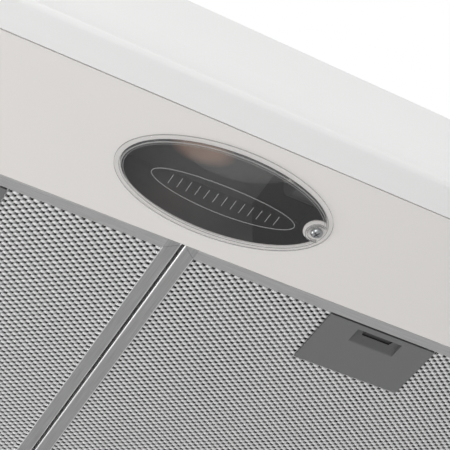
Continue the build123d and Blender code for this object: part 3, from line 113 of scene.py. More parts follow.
# %% Finishes
class Finish:
    """One material: a Principled shader and the nodes that feed it."""

    def __init__(self, name, colour, roughness, **uniform):
        self.material = bpy.data.materials.new(name)
        self.material.use_nodes = True
        self.tree = self.material.node_tree
        self.shader = self.tree.nodes["Principled BSDF"]
        self.colour = (*colour, 1.0)
        self.set("Base Color", self.colour)
        self.set("Roughness", roughness)
        for key, value in uniform.items():
            self.set(key.replace("_", " "), value)

    def node(self, kind, settings, sockets, out=0):
        made = self.tree.nodes.new(kind)
        for key, value in settings.items():
            setattr(made, key, value)
        for key, value in sockets.items():
            self.feed(made.inputs[key], value)
        return Wire(self, made.outputs[out])

    def feed(self, socket, value):
        if isinstance(value, Wire):
            self.tree.links.new(value.socket, socket)
        else:
            socket.default_value = value

    def set(self, name, value):
        self.feed(self.shader.inputs[name], value)

    def place(self):
        """Position on the piece, in metres."""
        return self.node("ShaderNodeTexCoord", {}, {}, "Object")

    def axes(self):
        """The x, y and z of the position as three wires."""
        split = self.node("ShaderNodeSeparateXYZ", {}, {0: self.place()}).socket.node
        return [Wire(self, socket) for socket in split.outputs]

    def stretched(self, x, y, z):
        """The position, scaled on each axis: a large factor gives fine detail along it."""
        return self.node("ShaderNodeVectorMath", {"operation": "MULTIPLY"}, {0: self.place(), 1: (x, y, z)})

    def noise(self, scale, detail=3.0, where=None):
        where = where or self.place()
        return self.node("ShaderNodeTexNoise", {}, {"Vector": where, "Scale": scale, "Detail": detail})

    def mix(self, mask, first, second):
        """Colour that goes from first to second as mask goes from 0 to 1."""
        return self.node("ShaderNodeMix", {"data_type": "RGBA"}, {0: mask, 6: first, 7: second}, 2)

    def mottle(self, scale, amount):
        """Base colour that drifts a little lighter and darker over the surface."""
        mask = self.noise(scale).ramp(0.35, 0.65)
        dark, light = shade(self.colour, 1 - amount), shade(self.colour, 1 + amount)
        self.set("Base Color", self.mix(mask, dark, light))

    def bump(self, height, depth):
        """Small relief of a given depth in metres, on the shader's Normal."""
        self.set("Normal", self.node("ShaderNodeBump", {}, {"Height": height, "Distance": depth}, "Normal"))


def shade(colour, factor):
    """The same colour, lighter or darker."""
    return tuple(min(1.0, c * factor) for c in colour[:3]) + (1.0,)


print("finishes ready")

# %% [markdown]
# ## The camera
# The camera stands below and in front of the hood and looks up along its underside. Its
# place and its three directions are given as numbers; a long lens keeps the far filter
# nearly as large as the near one.

# %% Camera
CAMERA_AT = Vector((-0.23035, -0.63599, -0.66440))
CAMERA_RIGHT = Vector((0.87786699, -0.47890413, -0.00061012))
CAMERA_DOWN = Vector((0.34694897, 0.63686048, -0.68850210))
CAMERA_FORWARD = Vector((0.33011506, 0.60420158, 0.72523409))
FOCAL_LENGTH = 106.5

camera_data = bpy.data.cameras.new("camera")
camera_data.lens = FOCAL_LENGTH
camera_data.sensor_width = 36.0
camera_data.clip_start = 0.01
camera = bpy.data.objects.new("camera", camera_data)
turn = Matrix((CAMERA_RIGHT, -CAMERA_DOWN, -CAMERA_FORWARD)).transposed()
camera.matrix_world = Matrix.Translation(CAMERA_AT) @ turn.to_4x4()
bpy.context.scene.collection.objects.link(camera)
bpy.context.scene.camera = camera
bpy.context.scene.view_settings.view_transform = "Standard"
print("camera at", [round(v, 3) for v in CAMERA_AT])

# %% [markdown]
# ## Stage and light
# A product shot on white: a pale floor well below the hood and a surround that is white
# overhead and greyer towards the horizon. A wholly white room would light every side the
# same and hide the shape. Two large soft lights stand low at the front left and at the
# left, so that each rounded edge and each bump of the filter mesh has one bright side. A
# third one faces the fascia and keeps the front the brightest part of the hood.

# %% Stage and light
FLOOR_Z = UNDER - 1.35
FLOOR_HALF = 9.0
FLOOR_GREY = (0.55, 0.55, 0.55)
HORIZON_GREY = 0.42
HORIZON, WHITE_FROM = 0.05, 0.55
KEY_AT, KEY_SIZE, KEY_POWER = (-0.95, -1.0, UNDER - 1.25), (0.8, 0.8), 18.0
LEFT_AT, LEFT_SIZE, LEFT_POWER = (-1.7, 0.9, UNDER - 0.55), (0.9, 0.5), 10.0
FRONT_AT, FRONT_SIZE, FRONT_POWER = (-0.6, -2.6, UNDER + 0.1), (1.2, 0.6), 9.0


def link(obj):
    bpy.context.scene.collection.objects.link(obj)
    return obj


def soft_light(name, at, aim, size, power):
    data = bpy.data.lights.new(name, "AREA")
    data.shape = "RECTANGLE"
    data.size, data.size_y = size
    data.energy = power
    light = link(bpy.data.objects.new(name, data))
    light.location = at
    light.rotation_euler = (Vector(aim) - Vector(at)).to_track_quat("-Z", "Y").to_euler()
    return light


def stage_floor():
    mesh = bpy.data.meshes.new("floor")
    s = FLOOR_HALF
    corners = [(-s, -s, FLOOR_Z), (s, -s, FLOOR_Z), (s, s, FLOOR_Z), (-s, s, FLOOR_Z)]
    mesh.from_pydata(corners, [], [(0, 1, 2, 3)])
    floor = link(bpy.data.objects.new("floor", mesh))
    finish = Finish("floor", FLOOR_GREY, 0.9)
    finish.mottle(1.5, 0.01)
    mesh.materials.append(finish.material)


class Surround(Finish):
    """The world's nodes, wired with the same tools: white overhead, grey at the horizon."""

    def __init__(self, name):
        self.world = bpy.data.worlds.new(name)
        self.world.use_nodes = True
        self.tree = self.world.node_tree
        self.shader = self.tree.nodes["Background"]
        direction = self.node("ShaderNodeTexCoord", {}, {}, "Generated")
        height = self.node("ShaderNodeSeparateXYZ", {}, {0: direction}, "Z")
        span = {"From Min": HORIZON, "From Max": WHITE_FROM, "To Min": HORIZON_GREY}
        self.set("Color", self.node("ShaderNodeMapRange", {}, {"Value": height, **span}))


stage_floor()
bpy.context.scene.world = Surround("surround").world
soft_light("key light", KEY_AT, (0.0, -0.05, UNDER), KEY_SIZE, KEY_POWER)
soft_light("left light", LEFT_AT, (0.0, 0.0, UNDER), LEFT_SIZE, LEFT_POWER)
soft_light("front light", FRONT_AT, (0.0, -0.3, UNDER + 0.05), FRONT_SIZE, FRONT_POWER)
print("floor at", round(FLOOR_Z, 2))

# %% [markdown]
# ## White enamel and white plastic
# The casing and the lamp panel are steel, sprayed and baked: a smooth semi gloss coat with
# a very faint orange peel. The fascia is moulded plastic, a little glossier and a little
# cooler in colour. Both are nearly plain, so a fine bump and a slight drift in colour are
# enough, and more would look dirty.

# %% White finishes
ORANGE_PEEL = 0.00001
FINE_TEXTURE = 0.00002


def smooth_coat(name, colour, roughness, peel_scale, peel=ORANGE_PEEL, **uniform):
    finish = Finish(name, colour, roughness, **uniform)
    finish.mottle(6.0, 0.006)
    finish.bump(finish.noise(peel_scale), peel)
    return finish.material


MATERIALS = {}
MATERIALS["white_enamel"] = smooth_coat("white enamel", (0.76, 0.735, 0.715), 0.42, 500)
MATERIALS["white_plastic"] = smooth_coat("white plastic", (0.82, 0.82, 0.815), 0.35, 350)
print("white finishes", len(MATERIALS))

# %% [markdown]
# ## Moulded plastics and rubber
# Parts inside the hood are injection moulded. A spark eroded mould leaves a fine grain, so
# these finishes have a stronger, finer bump and a higher roughness than the fascia.

# %% Moulded plastics
def moulded(name, colour, roughness, grain=900, depth=FINE_TEXTURE, drift=0.05):
    finish = Finish(name, colour, roughness)
    finish.mottle(25.0, drift)
    finish.bump(finish.noise(grain, 4.0), depth)
    return finish.material


# Depths in the latch plate where the painted shade turns black in its slot.
SLOT_SHADE_START, SLOT_SHADE_END = 2.22 * MM, 2.4 * MM
SLOT_SHADE_BLACK = (0.008, 0.008, 0.008, 1.0)


def latch_plate_finish():
    """Grey on the face, with painted shade: darker down in the finger scoop and black in its slot."""
    finish = Finish("latch plastic", (0.150, 0.150, 0.152), 0.5)
    x, y, z = finish.axes()
    depth = z - UNDER
    # Painted shade: darker down in the scoop and black in the slot.
    scoop = finish.mix(depth.ramp(0.02 * MM, 0.5 * MM), finish.colour, shade(finish.colour, 0.6))
    slot = depth.ramp(SLOT_SHADE_START, SLOT_SHADE_END)
    finish.set("Base Color", finish.mix(slot, scoop, SLOT_SHADE_BLACK))
    finish.bump(finish.noise(900, 4.0), FINE_TEXTURE)
    return finish.material


MATERIALS["black_plastic"] = moulded("black plastic", (0.030, 0.030, 0.032), 0.45)
MATERIALS["grey_plastic"] = moulded("grey plastic", (0.36, 0.37, 0.38), 0.45)
MATERIALS["latch_plastic"] = latch_plate_finish()
MATERIALS["rubber"] = moulded("rubber", (0.022, 0.022, 0.022), 0.75, 400)
MATERIALS["lead_sheath"] = moulded("lead sheath", (0.060, 0.060, 0.062), 0.5, 300)
print("moulded finishes", len(MATERIALS))

# %% [markdown]
# ## Metals
# Sheet metal keeps the marks of the rolling mill as fine parallel lines. Noise that is
# stretched along one axis draws them. Zinc coated sheet shows large dull crystals instead,
# which a Voronoi texture gives. Turned parts, springs and screws are bright and smooth.

# %% Metals
def metal(name, colour, roughness, grain=(1, 1, 1), scale=300, drift=0.08, depth=0.000004):
    finish = Finish(name, colour, roughness, Metallic=1.0)
    lines = finish.noise(scale, 4.0, finish.stretched(*grain))
    mask = lines.ramp(0.3, 0.7)
    dark, light = shade(finish.colour, 1 - drift), shade(finish.colour, 1 + drift)
    finish.set("Base Color", finish.mix(mask, dark, light))
    finish.set("Roughness", roughness + (mask - 0.5) * 0.08)
    finish.bump(lines, depth)
    return finish.material


def zinc_sheet(name, colour, roughness):
    finish = Finish(name, colour, roughness, Metallic=1.0)
    crystals = finish.node("ShaderNodeTexVoronoi", {}, {"Vector": finish.place(), "Scale": 120.0}, "Color")
    flat = finish.node("ShaderNodeSeparateColor", {}, {0: crystals})
    finish.set("Base Color", finish.mix(flat, shade(finish.colour, 0.85), shade(finish.colour, 1.1)))
    finish.set("Roughness", roughness + flat * 0.12)
    return finish.material


MATERIALS["galvanised_steel"] = zinc_sheet("galvanised steel", (0.50, 0.51, 0.52), 0.38)
MATERIALS["nickel"] = metal("nickel", (0.70, 0.67, 0.62), 0.22)
MATERIALS["zinc_screws"] = metal("zinc", (0.72, 0.73, 0.74), 0.28)
MATERIALS["bright_steel"] = metal("bright steel", (0.66, 0.66, 0.66), 0.25, (1, 1, 8))
MATERIALS["motor_steel"] = metal("laminated steel", (0.30, 0.30, 0.31), 0.5, (0.2, 0.2, 12), drift=0.25)
MATERIALS["copper"] = metal("copper wire", (0.72, 0.30, 0.16), 0.3, (6, 6, 1), drift=0.2)
MATERIALS["bronze"] = metal("sintered bronze", (0.50, 0.34, 0.16), 0.5, scale=900, depth=0.00002)
print("metals", len(MATERIALS))

# %% [markdown]
# ## Brushed filter frames
# Each filter frame is a channel of brushed aluminium, mitred at the corners. The brushing
# runs along each strip, so it turns through a right angle at the mitres. One mask says
# which strips run front to back, and it picks between two sets of stretched noise; those
# strips are also painted a shade darker, as painted shade for how their brushing turns the
# light. Two narrow masks more paint highlights along the outer rim and the inner lip,
# where the rounded edges of the channel catch the light.

# %% Filter aluminium
FRAME_LOW, FRAME_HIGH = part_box("filter_frame_right")
FILTER_X = (FRAME_LOW.x + FRAME_HIGH.x) / 2
FILTER_HALF = (FRAME_HIGH.x - FRAME_LOW.x) / 2
SIDE_STRIP, FRONT_STRIP = 8.8 * MM, 7.3 * MM
# The strips that run front to back get this painted shade.
SIDE_SHADE = 0.84
BRUSH_FINE, BRUSH_LONG = 2600.0, 40.0
# Widths of the painted highlights along the outer rim and the inner lip.
EDGE_HIGHLIGHT, LIP_HIGHLIGHT = 1.3 * MM, 0.6 * MM


def brushed_frame():
    finish = Finish("brushed aluminium", (0.56, 0.56, 0.56), 0.42, Metallic=1.0)
    x, y, z = finish.axes()
    from_middle = abs(abs(x) - FILTER_X)
    side = from_middle.ramp(FILTER_HALF - SIDE_STRIP, FILTER_HALF - SIDE_STRIP + 0.1 * MM)
    along_x = finish.noise(1.0, 2.0, finish.stretched(BRUSH_LONG, BRUSH_FINE, BRUSH_FINE))
    along_y = finish.noise(1.0, 2.0, finish.stretched(BRUSH_FINE, BRUSH_LONG, BRUSH_FINE))
    lines = along_x * (1 - side) + along_y * side
    mask = lines.ramp(0.3, 0.7)
    # Painted shade: the front to back strips are darker.
    side_shade = shade(finish.colour, SIDE_SHADE)
    dark = finish.mix(side, shade(finish.colour, 0.88), shade(side_shade, 0.88))
    light = finish.mix(side, shade(finish.colour, 1.12), shade(side_shade, 1.12))
    brushed = finish.mix(mask, dark, light)
    # Painted highlights on the rounded outer rim and inner lip of the channel.
    rim_highlight = 1 - (FILTER_HALF - from_middle).ramp(0.1 * MM, EDGE_HIGHLIGHT)
    past_front = (y - FRAME_LOW.y).ramp(FRONT_STRIP - 0.2 * MM, FRONT_STRIP)
    lip_highlight = (1 - abs(FILTER_HALF - from_middle - SIDE_STRIP).ramp(0.1 * MM, LIP_HIGHLIGHT)) * past_front
    finish.set("Base Color", finish.mix(rim_highlight + lip_highlight * (1 - rim_highlight), brushed, (0.95, 0.95, 0.95, 1.0)))
    finish.set("Roughness", 0.38 + mask * 0.1)
    finish.bump(lines, 0.000003)
    return finish.material


MATERIALS["filter_aluminium"] = brushed_frame()
print("filter frame half width", round(FILTER_HALF / MM, 1), "mm")

# %% [markdown]
# ## Clear parts
# The lamp cover is clear moulded plastic and the lamp is clear glass. Thin clear walls
# hardly bend light, so a low alpha with a glossy surface looks right and stays free of
# noise. Edges that are seen edge on look milky, and get a finish with a higher alpha. On
# the cover's steps, the dark line finish is painted shade and the lighter ring finish a
# painted highlight.

# %% Clear finishes
def clear(name, colour, alpha, roughness=0.06):
    finish = Finish(name, colour, roughness, Alpha=alpha, IOR=1.49)
    finish.bump(finish.noise(120.0, 1.0), 0.00001)
    return finish.material


MATERIALS["clear_plastic"] = clear("clear plastic", (0.60, 0.60, 0.60), 0.10)
MATERIALS["bulb_glass"] = clear("bulb glass", (0.85, 0.85, 0.83), 0.05)
CLEAR_DOME = clear("clear plastic dome", (0.42, 0.42, 0.42), 0.10, 0.12)
CLEAR_EDGE = clear("clear plastic edge", (0.42, 0.42, 0.42), 0.50, 0.3)
# The ring finish is a painted highlight and the line finish painted shade, on the cover's steps.
CLEAR_HIGHLIGHT_RING = clear("clear plastic ring", (0.50, 0.50, 0.49), 0.50, 0.2)
CLEAR_SHADE_LINE = clear("clear plastic line", (0.22, 0.22, 0.22), 0.55, 0.35)
print("clear finishes ready")

# %% [markdown]
# ## The lamp compartment
# Behind the cover is a dull sheet reflector, kept dark as painted shade for the unlit
# compartment, with a warm painted reflection of the lamp's glass on its roof. The zinc
# housing above it has painted shade on the inside only. Both changes are soft masks on
# the position, so they stay where they are from any side.

# %% Reflector
REFLECTOR_LOW, REFLECTOR_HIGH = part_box("lamp_reflector")
GLOW_X, GLOW_Y = -8 * MM, -203 * MM
GLOW_HALF_X, GLOW_HALF_Y = 15 * MM, 8 * MM
SKIN_START, SKIN_END = 0.05 * MM, 0.25 * MM


def reflector_sheet():
    # Dark base as painted shade in the unlit compartment, and a warm painted reflection of the lamp on the
    # roof.
    finish = Finish("reflector", (0.15, 0.15, 0.152), 0.42, Metallic=0.6)
    x, y, z = finish.axes()
    across = (x - GLOW_X) * (1 / GLOW_HALF_X)
    along = (y - GLOW_Y) * (1 / GLOW_HALF_Y)
    painted_glow = 1 - (across * across + along * along).ramp(0.2, 2.2)
    cloud = finish.noise(40.0).ramp(0.35, 0.65)
    base = finish.mix(cloud, shade(finish.colour, 0.9), shade(finish.colour, 1.1))
    finish.set("Base Color", finish.mix(painted_glow, base, (0.72, 0.48, 0.37, 1.0)))
    return finish.material


def lamp_can_shaded_inside():
    """Zinc outside and painted shade inside: the inside is whatever lies off all the outer faces."""
    finish = Finish("lamp housing", (0.50, 0.51, 0.52), 0.45, Metallic=1.0)
    low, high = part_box("lamp_housing")
    x, y, z = finish.axes()
    off_side = (high.x - low.x) / 2 - abs(x - (high.x + low.x) / 2)
    off_end = (high.y - low.y) / 2 - abs(y - (high.y + low.y) / 2)
    off_top = high.z - z
    inside = off_side.ramp(SKIN_START, SKIN_END) * off_end.ramp(SKIN_START, SKIN_END)
    inside = inside * off_top.ramp(SKIN_START, SKIN_END)
    cloud = finish.noise(60.0).ramp(0.3, 0.7)
    zinc = finish.mix(cloud, shade(finish.colour, 0.88), shade(finish.colour, 1.08))
    # The inside faces get painted shade.
    finish.set("Base Color", finish.mix(inside, zinc, (0.11, 0.11, 0.11, 1.0)))
    return finish.material


REFLECTOR = reflector_sheet()
LAMP_CAN = lamp_can_shaded_inside()
print("reflector from", round(REFLECTOR_LOW.x / MM), "to", round(REFLECTOR_HIGH.x / MM), "mm")

# %% [markdown]
# ## Finish every CAD piece
# The record gives each node the name of a material slot. Assigning the matching finish to
# each object's slots repaints the whole model and leaves its meshes alone. The reflector
# and the lamp housing are seen through the lamp cover and get finishes of their own, dark
# with painted shade, and the latch sliders are painted black, darker than their plates,
# as painted shade in their slots.

# %% Paint the CAD pieces
SLOT_OF = {part["node"]: part["material_slot"] for part in frame["record"]["subparts"]}
MATERIALS["mesh_aluminium"] = metal("mesh aluminium", (0.74, 0.74, 0.74), 0.30, drift=0.05)


def paint(obj, material):
    obj.data.materials.clear()
    obj.data.materials.append(material)


for name, obj in NODES.items():
    paint(obj, MATERIALS[SLOT_OF[name]])
paint(NODES["lamp_reflector"], REFLECTOR)
paint(NODES["lamp_housing"], LAMP_CAN)
# The sliders are painted black as painted shade in their slots.
for side in ("left", "right"):
    paint(NODES["latch_slider_" + side], MATERIALS["black_plastic"])
print("painted", len(NODES), "nodes")

# %% [markdown]
# ## Expanded metal
# The filter faces are expanded aluminium: a sheet is slit in staggered rows and pulled
# open, so it becomes a net of diamonds. Where strands meet, the metal stands up in a small
# rounded bump, which is what catches the light. One repeat of the pattern holds two bumps
# and four strands. Two Array modifiers lay it over a whole block, which keeps the base mesh
# tiny and the pattern exact.

# %% One repeat of the mesh
DIAMOND_X = 6.19 * MM
DIAMOND_Y = 4.09 * MM
BUMP_X, BUMP_Y, BUMP_RISE = 2.1 * MM, 1.2 * MM, 0.95 * MM
STRAND_HALF, STRAND_RISE = 0.55 * MM, 0.35 * MM
BUMP_SIDES = 10
BUMP_SHOULDER = (0.62, 0.72)


def add_bump(verts, faces, x, y, base, rise):
    """A rounded bump: an oval foot, an oval shoulder and a crown."""
    start = len(verts)
    for scale, height in ((1.0, 0.0), BUMP_SHOULDER):
        for k in range(BUMP_SIDES):
            angle = 2 * math.pi * k / BUMP_SIDES
            across = scale * BUMP_X * math.cos(angle)
            along = scale * BUMP_Y * math.sin(angle)
            verts.append((x + across, y + along, base - rise * height))
    verts.append((x, y, base - rise))
    crown = len(verts) - 1
    for k in range(BUMP_SIDES):
        n = (k + 1) % BUMP_SIDES
        faces.append((start + k, start + BUMP_SIDES + k, start + BUMP_SIDES + n, start + n))
        faces.append((start + BUMP_SIDES + k, crown, start + BUMP_SIDES + n))


def add_strand(verts, faces, a, b, base, rise):
    """A narrow ridge from one bump to the next."""
    start = len(verts)
    run = Vector(b) - Vector(a)
    side = Vector((-run.y, run.x)).normalized() * STRAND_HALF
    for end in (Vector(a), Vector(b)):
        for across, height in ((-1, 0.0), (0, rise), (1, 0.0)):
            spot = end + side * across
            verts.append((spot.x, spot.y, base - height))
    for k in (0, 1):
        faces.append((start + k, start + 3 + k, start + 4 + k, start + 1 + k))


def mesh_repeat(base, rise):
    verts, faces = [], []
    corner = (0.0, 0.0)
    middle = (DIAMOND_X / 2, DIAMOND_Y / 2)
    for spot in (corner, middle):
        add_bump(verts, faces, *spot, base, rise)
    for sx in (-1, 1):
        for sy in (-1, 1):
            end = (middle[0] + sx * DIAMOND_X / 2, middle[1] + sy * DIAMOND_Y / 2)
            add_strand(verts, faces, middle, end, base, STRAND_RISE)
    return verts, faces


print("one repeat has", len(mesh_repeat(0.0, BUMP_RISE)[1]), "faces")

# %% [markdown]
# The finish darkens towards the foot of each bump as painted shade, and the crown stays
# bright as a painted highlight. The height inside the layer drives the mask. The net is
# laid in three blocks round the latch plate, which closes the mesh where it sits.

# %% Lay the mesh over both filters
MESH_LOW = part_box("filter_mesh_right")[0]
CORE_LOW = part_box("filter_core_right")[0]
MESH_LIFT, CORE_LIFT = 0.55 * MM, 1.6 * MM
BACK_SHIFT = (DIAMOND_X * 0.3, DIAMOND_Y * 0.4)
LAYER_MARGIN = 1.5 * MM
NET_METAL, NET_ROUGHNESS = 0.45, 0.5


def aluminium_net(name, base, dark, bright):
    finish = Finish(name, bright, NET_ROUGHNESS, Metallic=NET_METAL)
    x, y, z = finish.axes()
    # Painted shade towards the foot of each bump and a painted highlight on its crown.
    crown = (base - z).ramp(0.0, BUMP_RISE)
    speck = finish.noise(700.0, 2.0).ramp(0.3, 0.7)
    light = finish.mix(speck, shade(finish.colour, 0.92), shade(finish.colour, 1.05))
    finish.set("Base Color", finish.mix(crown, (*dark, 1.0), light))
    return finish.material


def net_blocks(columns, rows, x0, y0, plate):
    """Blocks of whole repeats that fill the filter and leave out the latch plate."""
    low, high = plate
    left = math.ceil((low.x - x0) / DIAMOND_X)
    right = math.floor((high.x - x0) / DIAMOND_X) - 1
    front = math.floor((high.y - y0) / DIAMOND_Y) - 1
    return [(0, left, 0, rows), (right + 1, columns, 0, rows), (left, right + 1, front + 1, rows)]


def mesh_layer(name, side, base, shift, material, node):
    verts, faces = mesh_repeat(base, BUMP_RISE)
    low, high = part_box(node)
    x0 = low.x + LAYER_MARGIN + BUMP_X + shift[0]
    y0 = low.y + LAYER_MARGIN + BUMP_Y + shift[1]
    room_x = high.x - LAYER_MARGIN - x0 - DIAMOND_X / 2 - BUMP_X
    room_y = high.y - LAYER_MARGIN - y0 - DIAMOND_Y / 2 - BUMP_Y
    columns, rows = int(room_x / DIAMOND_X) + 1, int(room_y / DIAMOND_Y) + 1
    blocks = net_blocks(columns, rows, x0, y0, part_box("latch_plate_" + side))
    for number, (left, right, front, back) in enumerate(blocks):
        xs, ys = x0 + left * DIAMOND_X, y0 + front * DIAMOND_Y
        data = bpy.data.meshes.new(name)
        data.from_pydata([(x + xs, y + ys, z) for x, y, z in verts], [], faces)
        data.shade_smooth()
        data.materials.append(material)
        block = link(bpy.data.objects.new("%s_%d" % (name, number + 1), data))
        for count, step in ((right - left, (DIAMOND_X, 0, 0)), (back - front, (0, DIAMOND_Y, 0))):
            array = block.modifiers.new("repeat", "ARRAY")
            array.use_relative_offset = False
            array.use_constant_offset = True
            array.constant_offset_displace = step
            array.count = count
        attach(block, "filter_" + side)
        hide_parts(node)
    print(name, blocks)


FACE_BASE = MESH_LOW.z + MESH_LIFT
BACK_BASE = CORE_LOW.z + CORE_LIFT
FACE_NET = aluminium_net("face net", FACE_BASE, (0.45, 0.45, 0.45), (0.86, 0.86, 0.86))
# The back net is the same aluminium in darker colours, as painted shade deep inside the filter.
BACK_NET_SHADED = aluminium_net("back net", BACK_BASE, (0.16, 0.16, 0.16), (0.62, 0.62, 0.62))
for side in ("left", "right"):
    mesh_layer("net_face_" + side, side, FACE_BASE, (0, 0), FACE_NET, "filter_mesh_" + side)
    mesh_layer("net_back_" + side, side, BACK_BASE, BACK_SHIFT, BACK_NET_SHADED, "filter_core_" + side)
print("net bumps reach", round((FACE_BASE - BUMP_RISE - UNDER) / MM, 2), "mm above the underside")

# %% [markdown]
# ## The lamp cover
# The cover is one clear moulding: a flat flange that lies on the panel, a step, and a
# shallow dome. Its outline from the rim inwards is a list of stations, each an inset from
# the rim, a depth and a finish for the wall that ends there. The dome that follows is a
# quarter of a sine wave, which leaves the last station steeply and ends flat.

# %% Outline of the cover
LENS_LOW, LENS_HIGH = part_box("lamp_lens")
LENS_X = (LENS_LOW.x + LENS_HIGH.x) / 2
LENS_Y = (LENS_LOW.y + LENS_HIGH.y) / 2
LENS_A = (LENS_HIGH.x - LENS_LOW.x) / 2
LENS_B = (LENS_HIGH.y - LENS_LOW.y) / 2
DOME_DEPTH = UNDER - LENS_LOW.z
SHADE_LINE, CLEAR, HIGHLIGHT_RING, DOME = range(4)
# Stations that end in a line carry painted shade, and those that end in a ring a painted highlight.
EDGE_STATIONS = [(0.0, 0.0, CLEAR), (0.0, 0.9, SHADE_LINE), (0.2, 1.15, CLEAR)]
EDGE_STATIONS += [(0.6, 1.2, CLEAR), (2.6, 1.2, CLEAR)]
EDGE_STATIONS += [(2.7, 1.1, SHADE_LINE), (3.1, 1.3, SHADE_LINE), (3.4, 1.9, DOME), (4.1, 2.2, HIGHLIGHT_RING), (4.4, 2.3, SHADE_LINE)]
EDGE_STATIONS += [(4.9, 2.3, DOME), (5.25, 2.3, HIGHLIGHT_RING), (5.5, 2.1, DOME)]
DOME_INSET, DOME_START = EDGE_STATIONS[-1][:2]


def cover_depth(x, y):
    """Depth of the dome's outer face below the panel, in metres."""
    a, b = LENS_A - DOME_INSET * MM, LENS_B - DOME_INSET * MM
    r = math.sqrt(((x - LENS_X) / a) ** 2 + ((y - LENS_Y) / b) ** 2)
    start = DOME_START * MM
    return start + (DOME_DEPTH - start) * math.sin(max(0.0, 1 - r) * math.pi / 2)


print("cover", round(2 * LENS_A / MM, 1), "by", round(2 * LENS_B / MM, 1), "mm")

# %% [markdown]
# A revolve would give a round cover, so each station becomes a ring of points on an ellipse
# instead, and faces join each ring to the next. A face carries the finish of the station
# that it leads to.

# %% Sweep the cover round an oval
OVAL_STEPS = 192
DOME_RINGS = 14


def oval_ring(inset_a, inset_b, z):
    ring = []
    for k in range(OVAL_STEPS):
        angle = 2 * math.pi * k / OVAL_STEPS
        x = LENS_X + (LENS_A - inset_a) * math.cos(angle)
        y = LENS_Y + (LENS_B - inset_b) * math.sin(angle)
        ring.append((x, y, z))
    return ring


def lamp_cover():
    rings, kinds = [], []
    for inset, depth, kind in EDGE_STATIONS:
        rings.append(oval_ring(inset * MM, inset * MM, UNDER - depth * MM))
        kinds.append(kind)
    start, inset = DOME_START * MM, DOME_INSET * MM
    for k in range(1, DOME_RINGS):
        share = k / DOME_RINGS
        depth = start + (DOME_DEPTH - start) * math.sin(share * math.pi / 2)
        long, short = inset + (LENS_A - inset) * share, inset + (LENS_B - inset) * share
        rings.append(oval_ring(long, short, UNDER - depth))
        kinds.append(DOME)
    verts = [v for ring in rings for v in ring]
    centre = len(verts)
    verts.append((LENS_X, LENS_Y, LENS_LOW.z))
    faces, slots = [], []
    n = OVAL_STEPS
    for r in range(len(rings) - 1):
        for k in range(n):
            m = (k + 1) % n
            faces.append((r * n + k, r * n + m, (r + 1) * n + m, (r + 1) * n + k))
            slots.append(kinds[r + 1])
    last = (len(rings) - 1) * n
    for k in range(n):
        faces.append((last + k, last + (k + 1) % n, centre))
        slots.append(DOME)
    data = bpy.data.meshes.new("lamp_cover")
    data.from_pydata(verts, [], faces)
    data.polygons.foreach_set("material_index", slots)
    data.shade_smooth()
    for material in (CLEAR_SHADE_LINE, MATERIALS["clear_plastic"], CLEAR_HIGHLIGHT_RING, CLEAR_DOME):
        data.materials.append(material)
    return link(bpy.data.objects.new("lamp_cover", data))


cover = lamp_cover()
print("cover has", len(cover.data.polygons), "faces")

# %% [markdown]
# The screw stands near one end of the cover, so the dome has a gap there for its boss. The
# faces near the screw are deleted, and the flange that lies on the panel is left.

# %% Gap for the screw
SCREW_LOW, SCREW_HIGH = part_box("lens_screw")
SCREW_X = (SCREW_LOW.x + SCREW_HIGH.x) / 2
NOTCH_R = 6.5 * MM
FLANGE_FACE = 1.2 * MM


def cut_for_screw(cover):
    """Opens the dome round the screw's boss."""
    work = bmesh.new()
    work.from_mesh(cover.data)
    gone = []
    for face in work.faces:
        middle = face.calc_center_median()
        near = math.hypot(middle.x - SCREW_X, middle.y - LENS_Y) < NOTCH_R
        if near and middle.z < UNDER - FLANGE_FACE - 0.05 * MM:
            gone.append(face)
    bmesh.ops.delete(work, geom=gone, context="FACES")
    work.to_mesh(cover.data)
    work.free()


cut_for_screw(cover)
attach(cover, "hood")
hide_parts("lamp_lens")
print("faces left", len(cover.data.polygons))

# %% [markdown]
# The raised oval and the ribs inside it stiffen the dome. Each is a thin rod that follows
# the dome's face, made as a curve with a round bevel.

# %% Raised oval and ribs
OVAL_X, OVAL_Y = 2.0 * MM, LENS_Y + 1.0 * MM
OVAL_A, OVAL_B = 43.7 * MM, 9.7 * MM
RAISED_R = 0.26 * MM
RAISED_STEPS = 96
RIB_COUNT = 13
RIB_PITCH = 5.4 * MM
RIB_HALF = 3.4 * MM


def raised_line(name, points, closed, radius, material):
    curve = bpy.data.curves.new(name, "CURVE")
    curve.dimensions = "3D"
    curve.bevel_depth = radius
    curve.bevel_resolution = 2
    curve.use_fill_caps = True
    line = curve.splines.new("POLY")
    line.points.add(len(points) - 1)
    for point, (x, y) in zip(line.points, points):
        point.co = (x, y, UNDER - cover_depth(x, y) + radius, 1.0)
    line.use_cyclic_u = closed
    curve.materials.append(material)
    piece = link(bpy.data.objects.new(name, curve))
    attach(piece, "hood")
    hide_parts("lamp_lens")
    return piece


oval = []
for k in range(RAISED_STEPS):
    angle = 2 * math.pi * k / RAISED_STEPS
    oval.append((OVAL_X + OVAL_A * math.cos(angle), OVAL_Y + OVAL_B * math.sin(angle)))
raised_line("cover_oval", oval, True, RAISED_R, CLEAR_EDGE)
for k in range(RIB_COUNT):
    x = OVAL_X + RIB_PITCH * (k - (RIB_COUNT - 1) / 2)
    rib = [(x, OVAL_Y - RIB_HALF + 2 * RIB_HALF * t / 4) for t in range(5)]
    raised_line("cover_rib_%02d" % (k + 1), rib, False, RAISED_R, CLEAR_EDGE)
print("ribs", RIB_COUNT)

# %% [markdown]
# The screw is a zinc plated pan head. It is round all over, so a list of radii and heights
# is revolved about its axis.

# %% Screw
HEAD_STEPS = 40
HEAD_R = 3.5 * MM
HEAD_TOP = UNDER - FLANGE_FACE
SHANK_R = 1.7 * MM


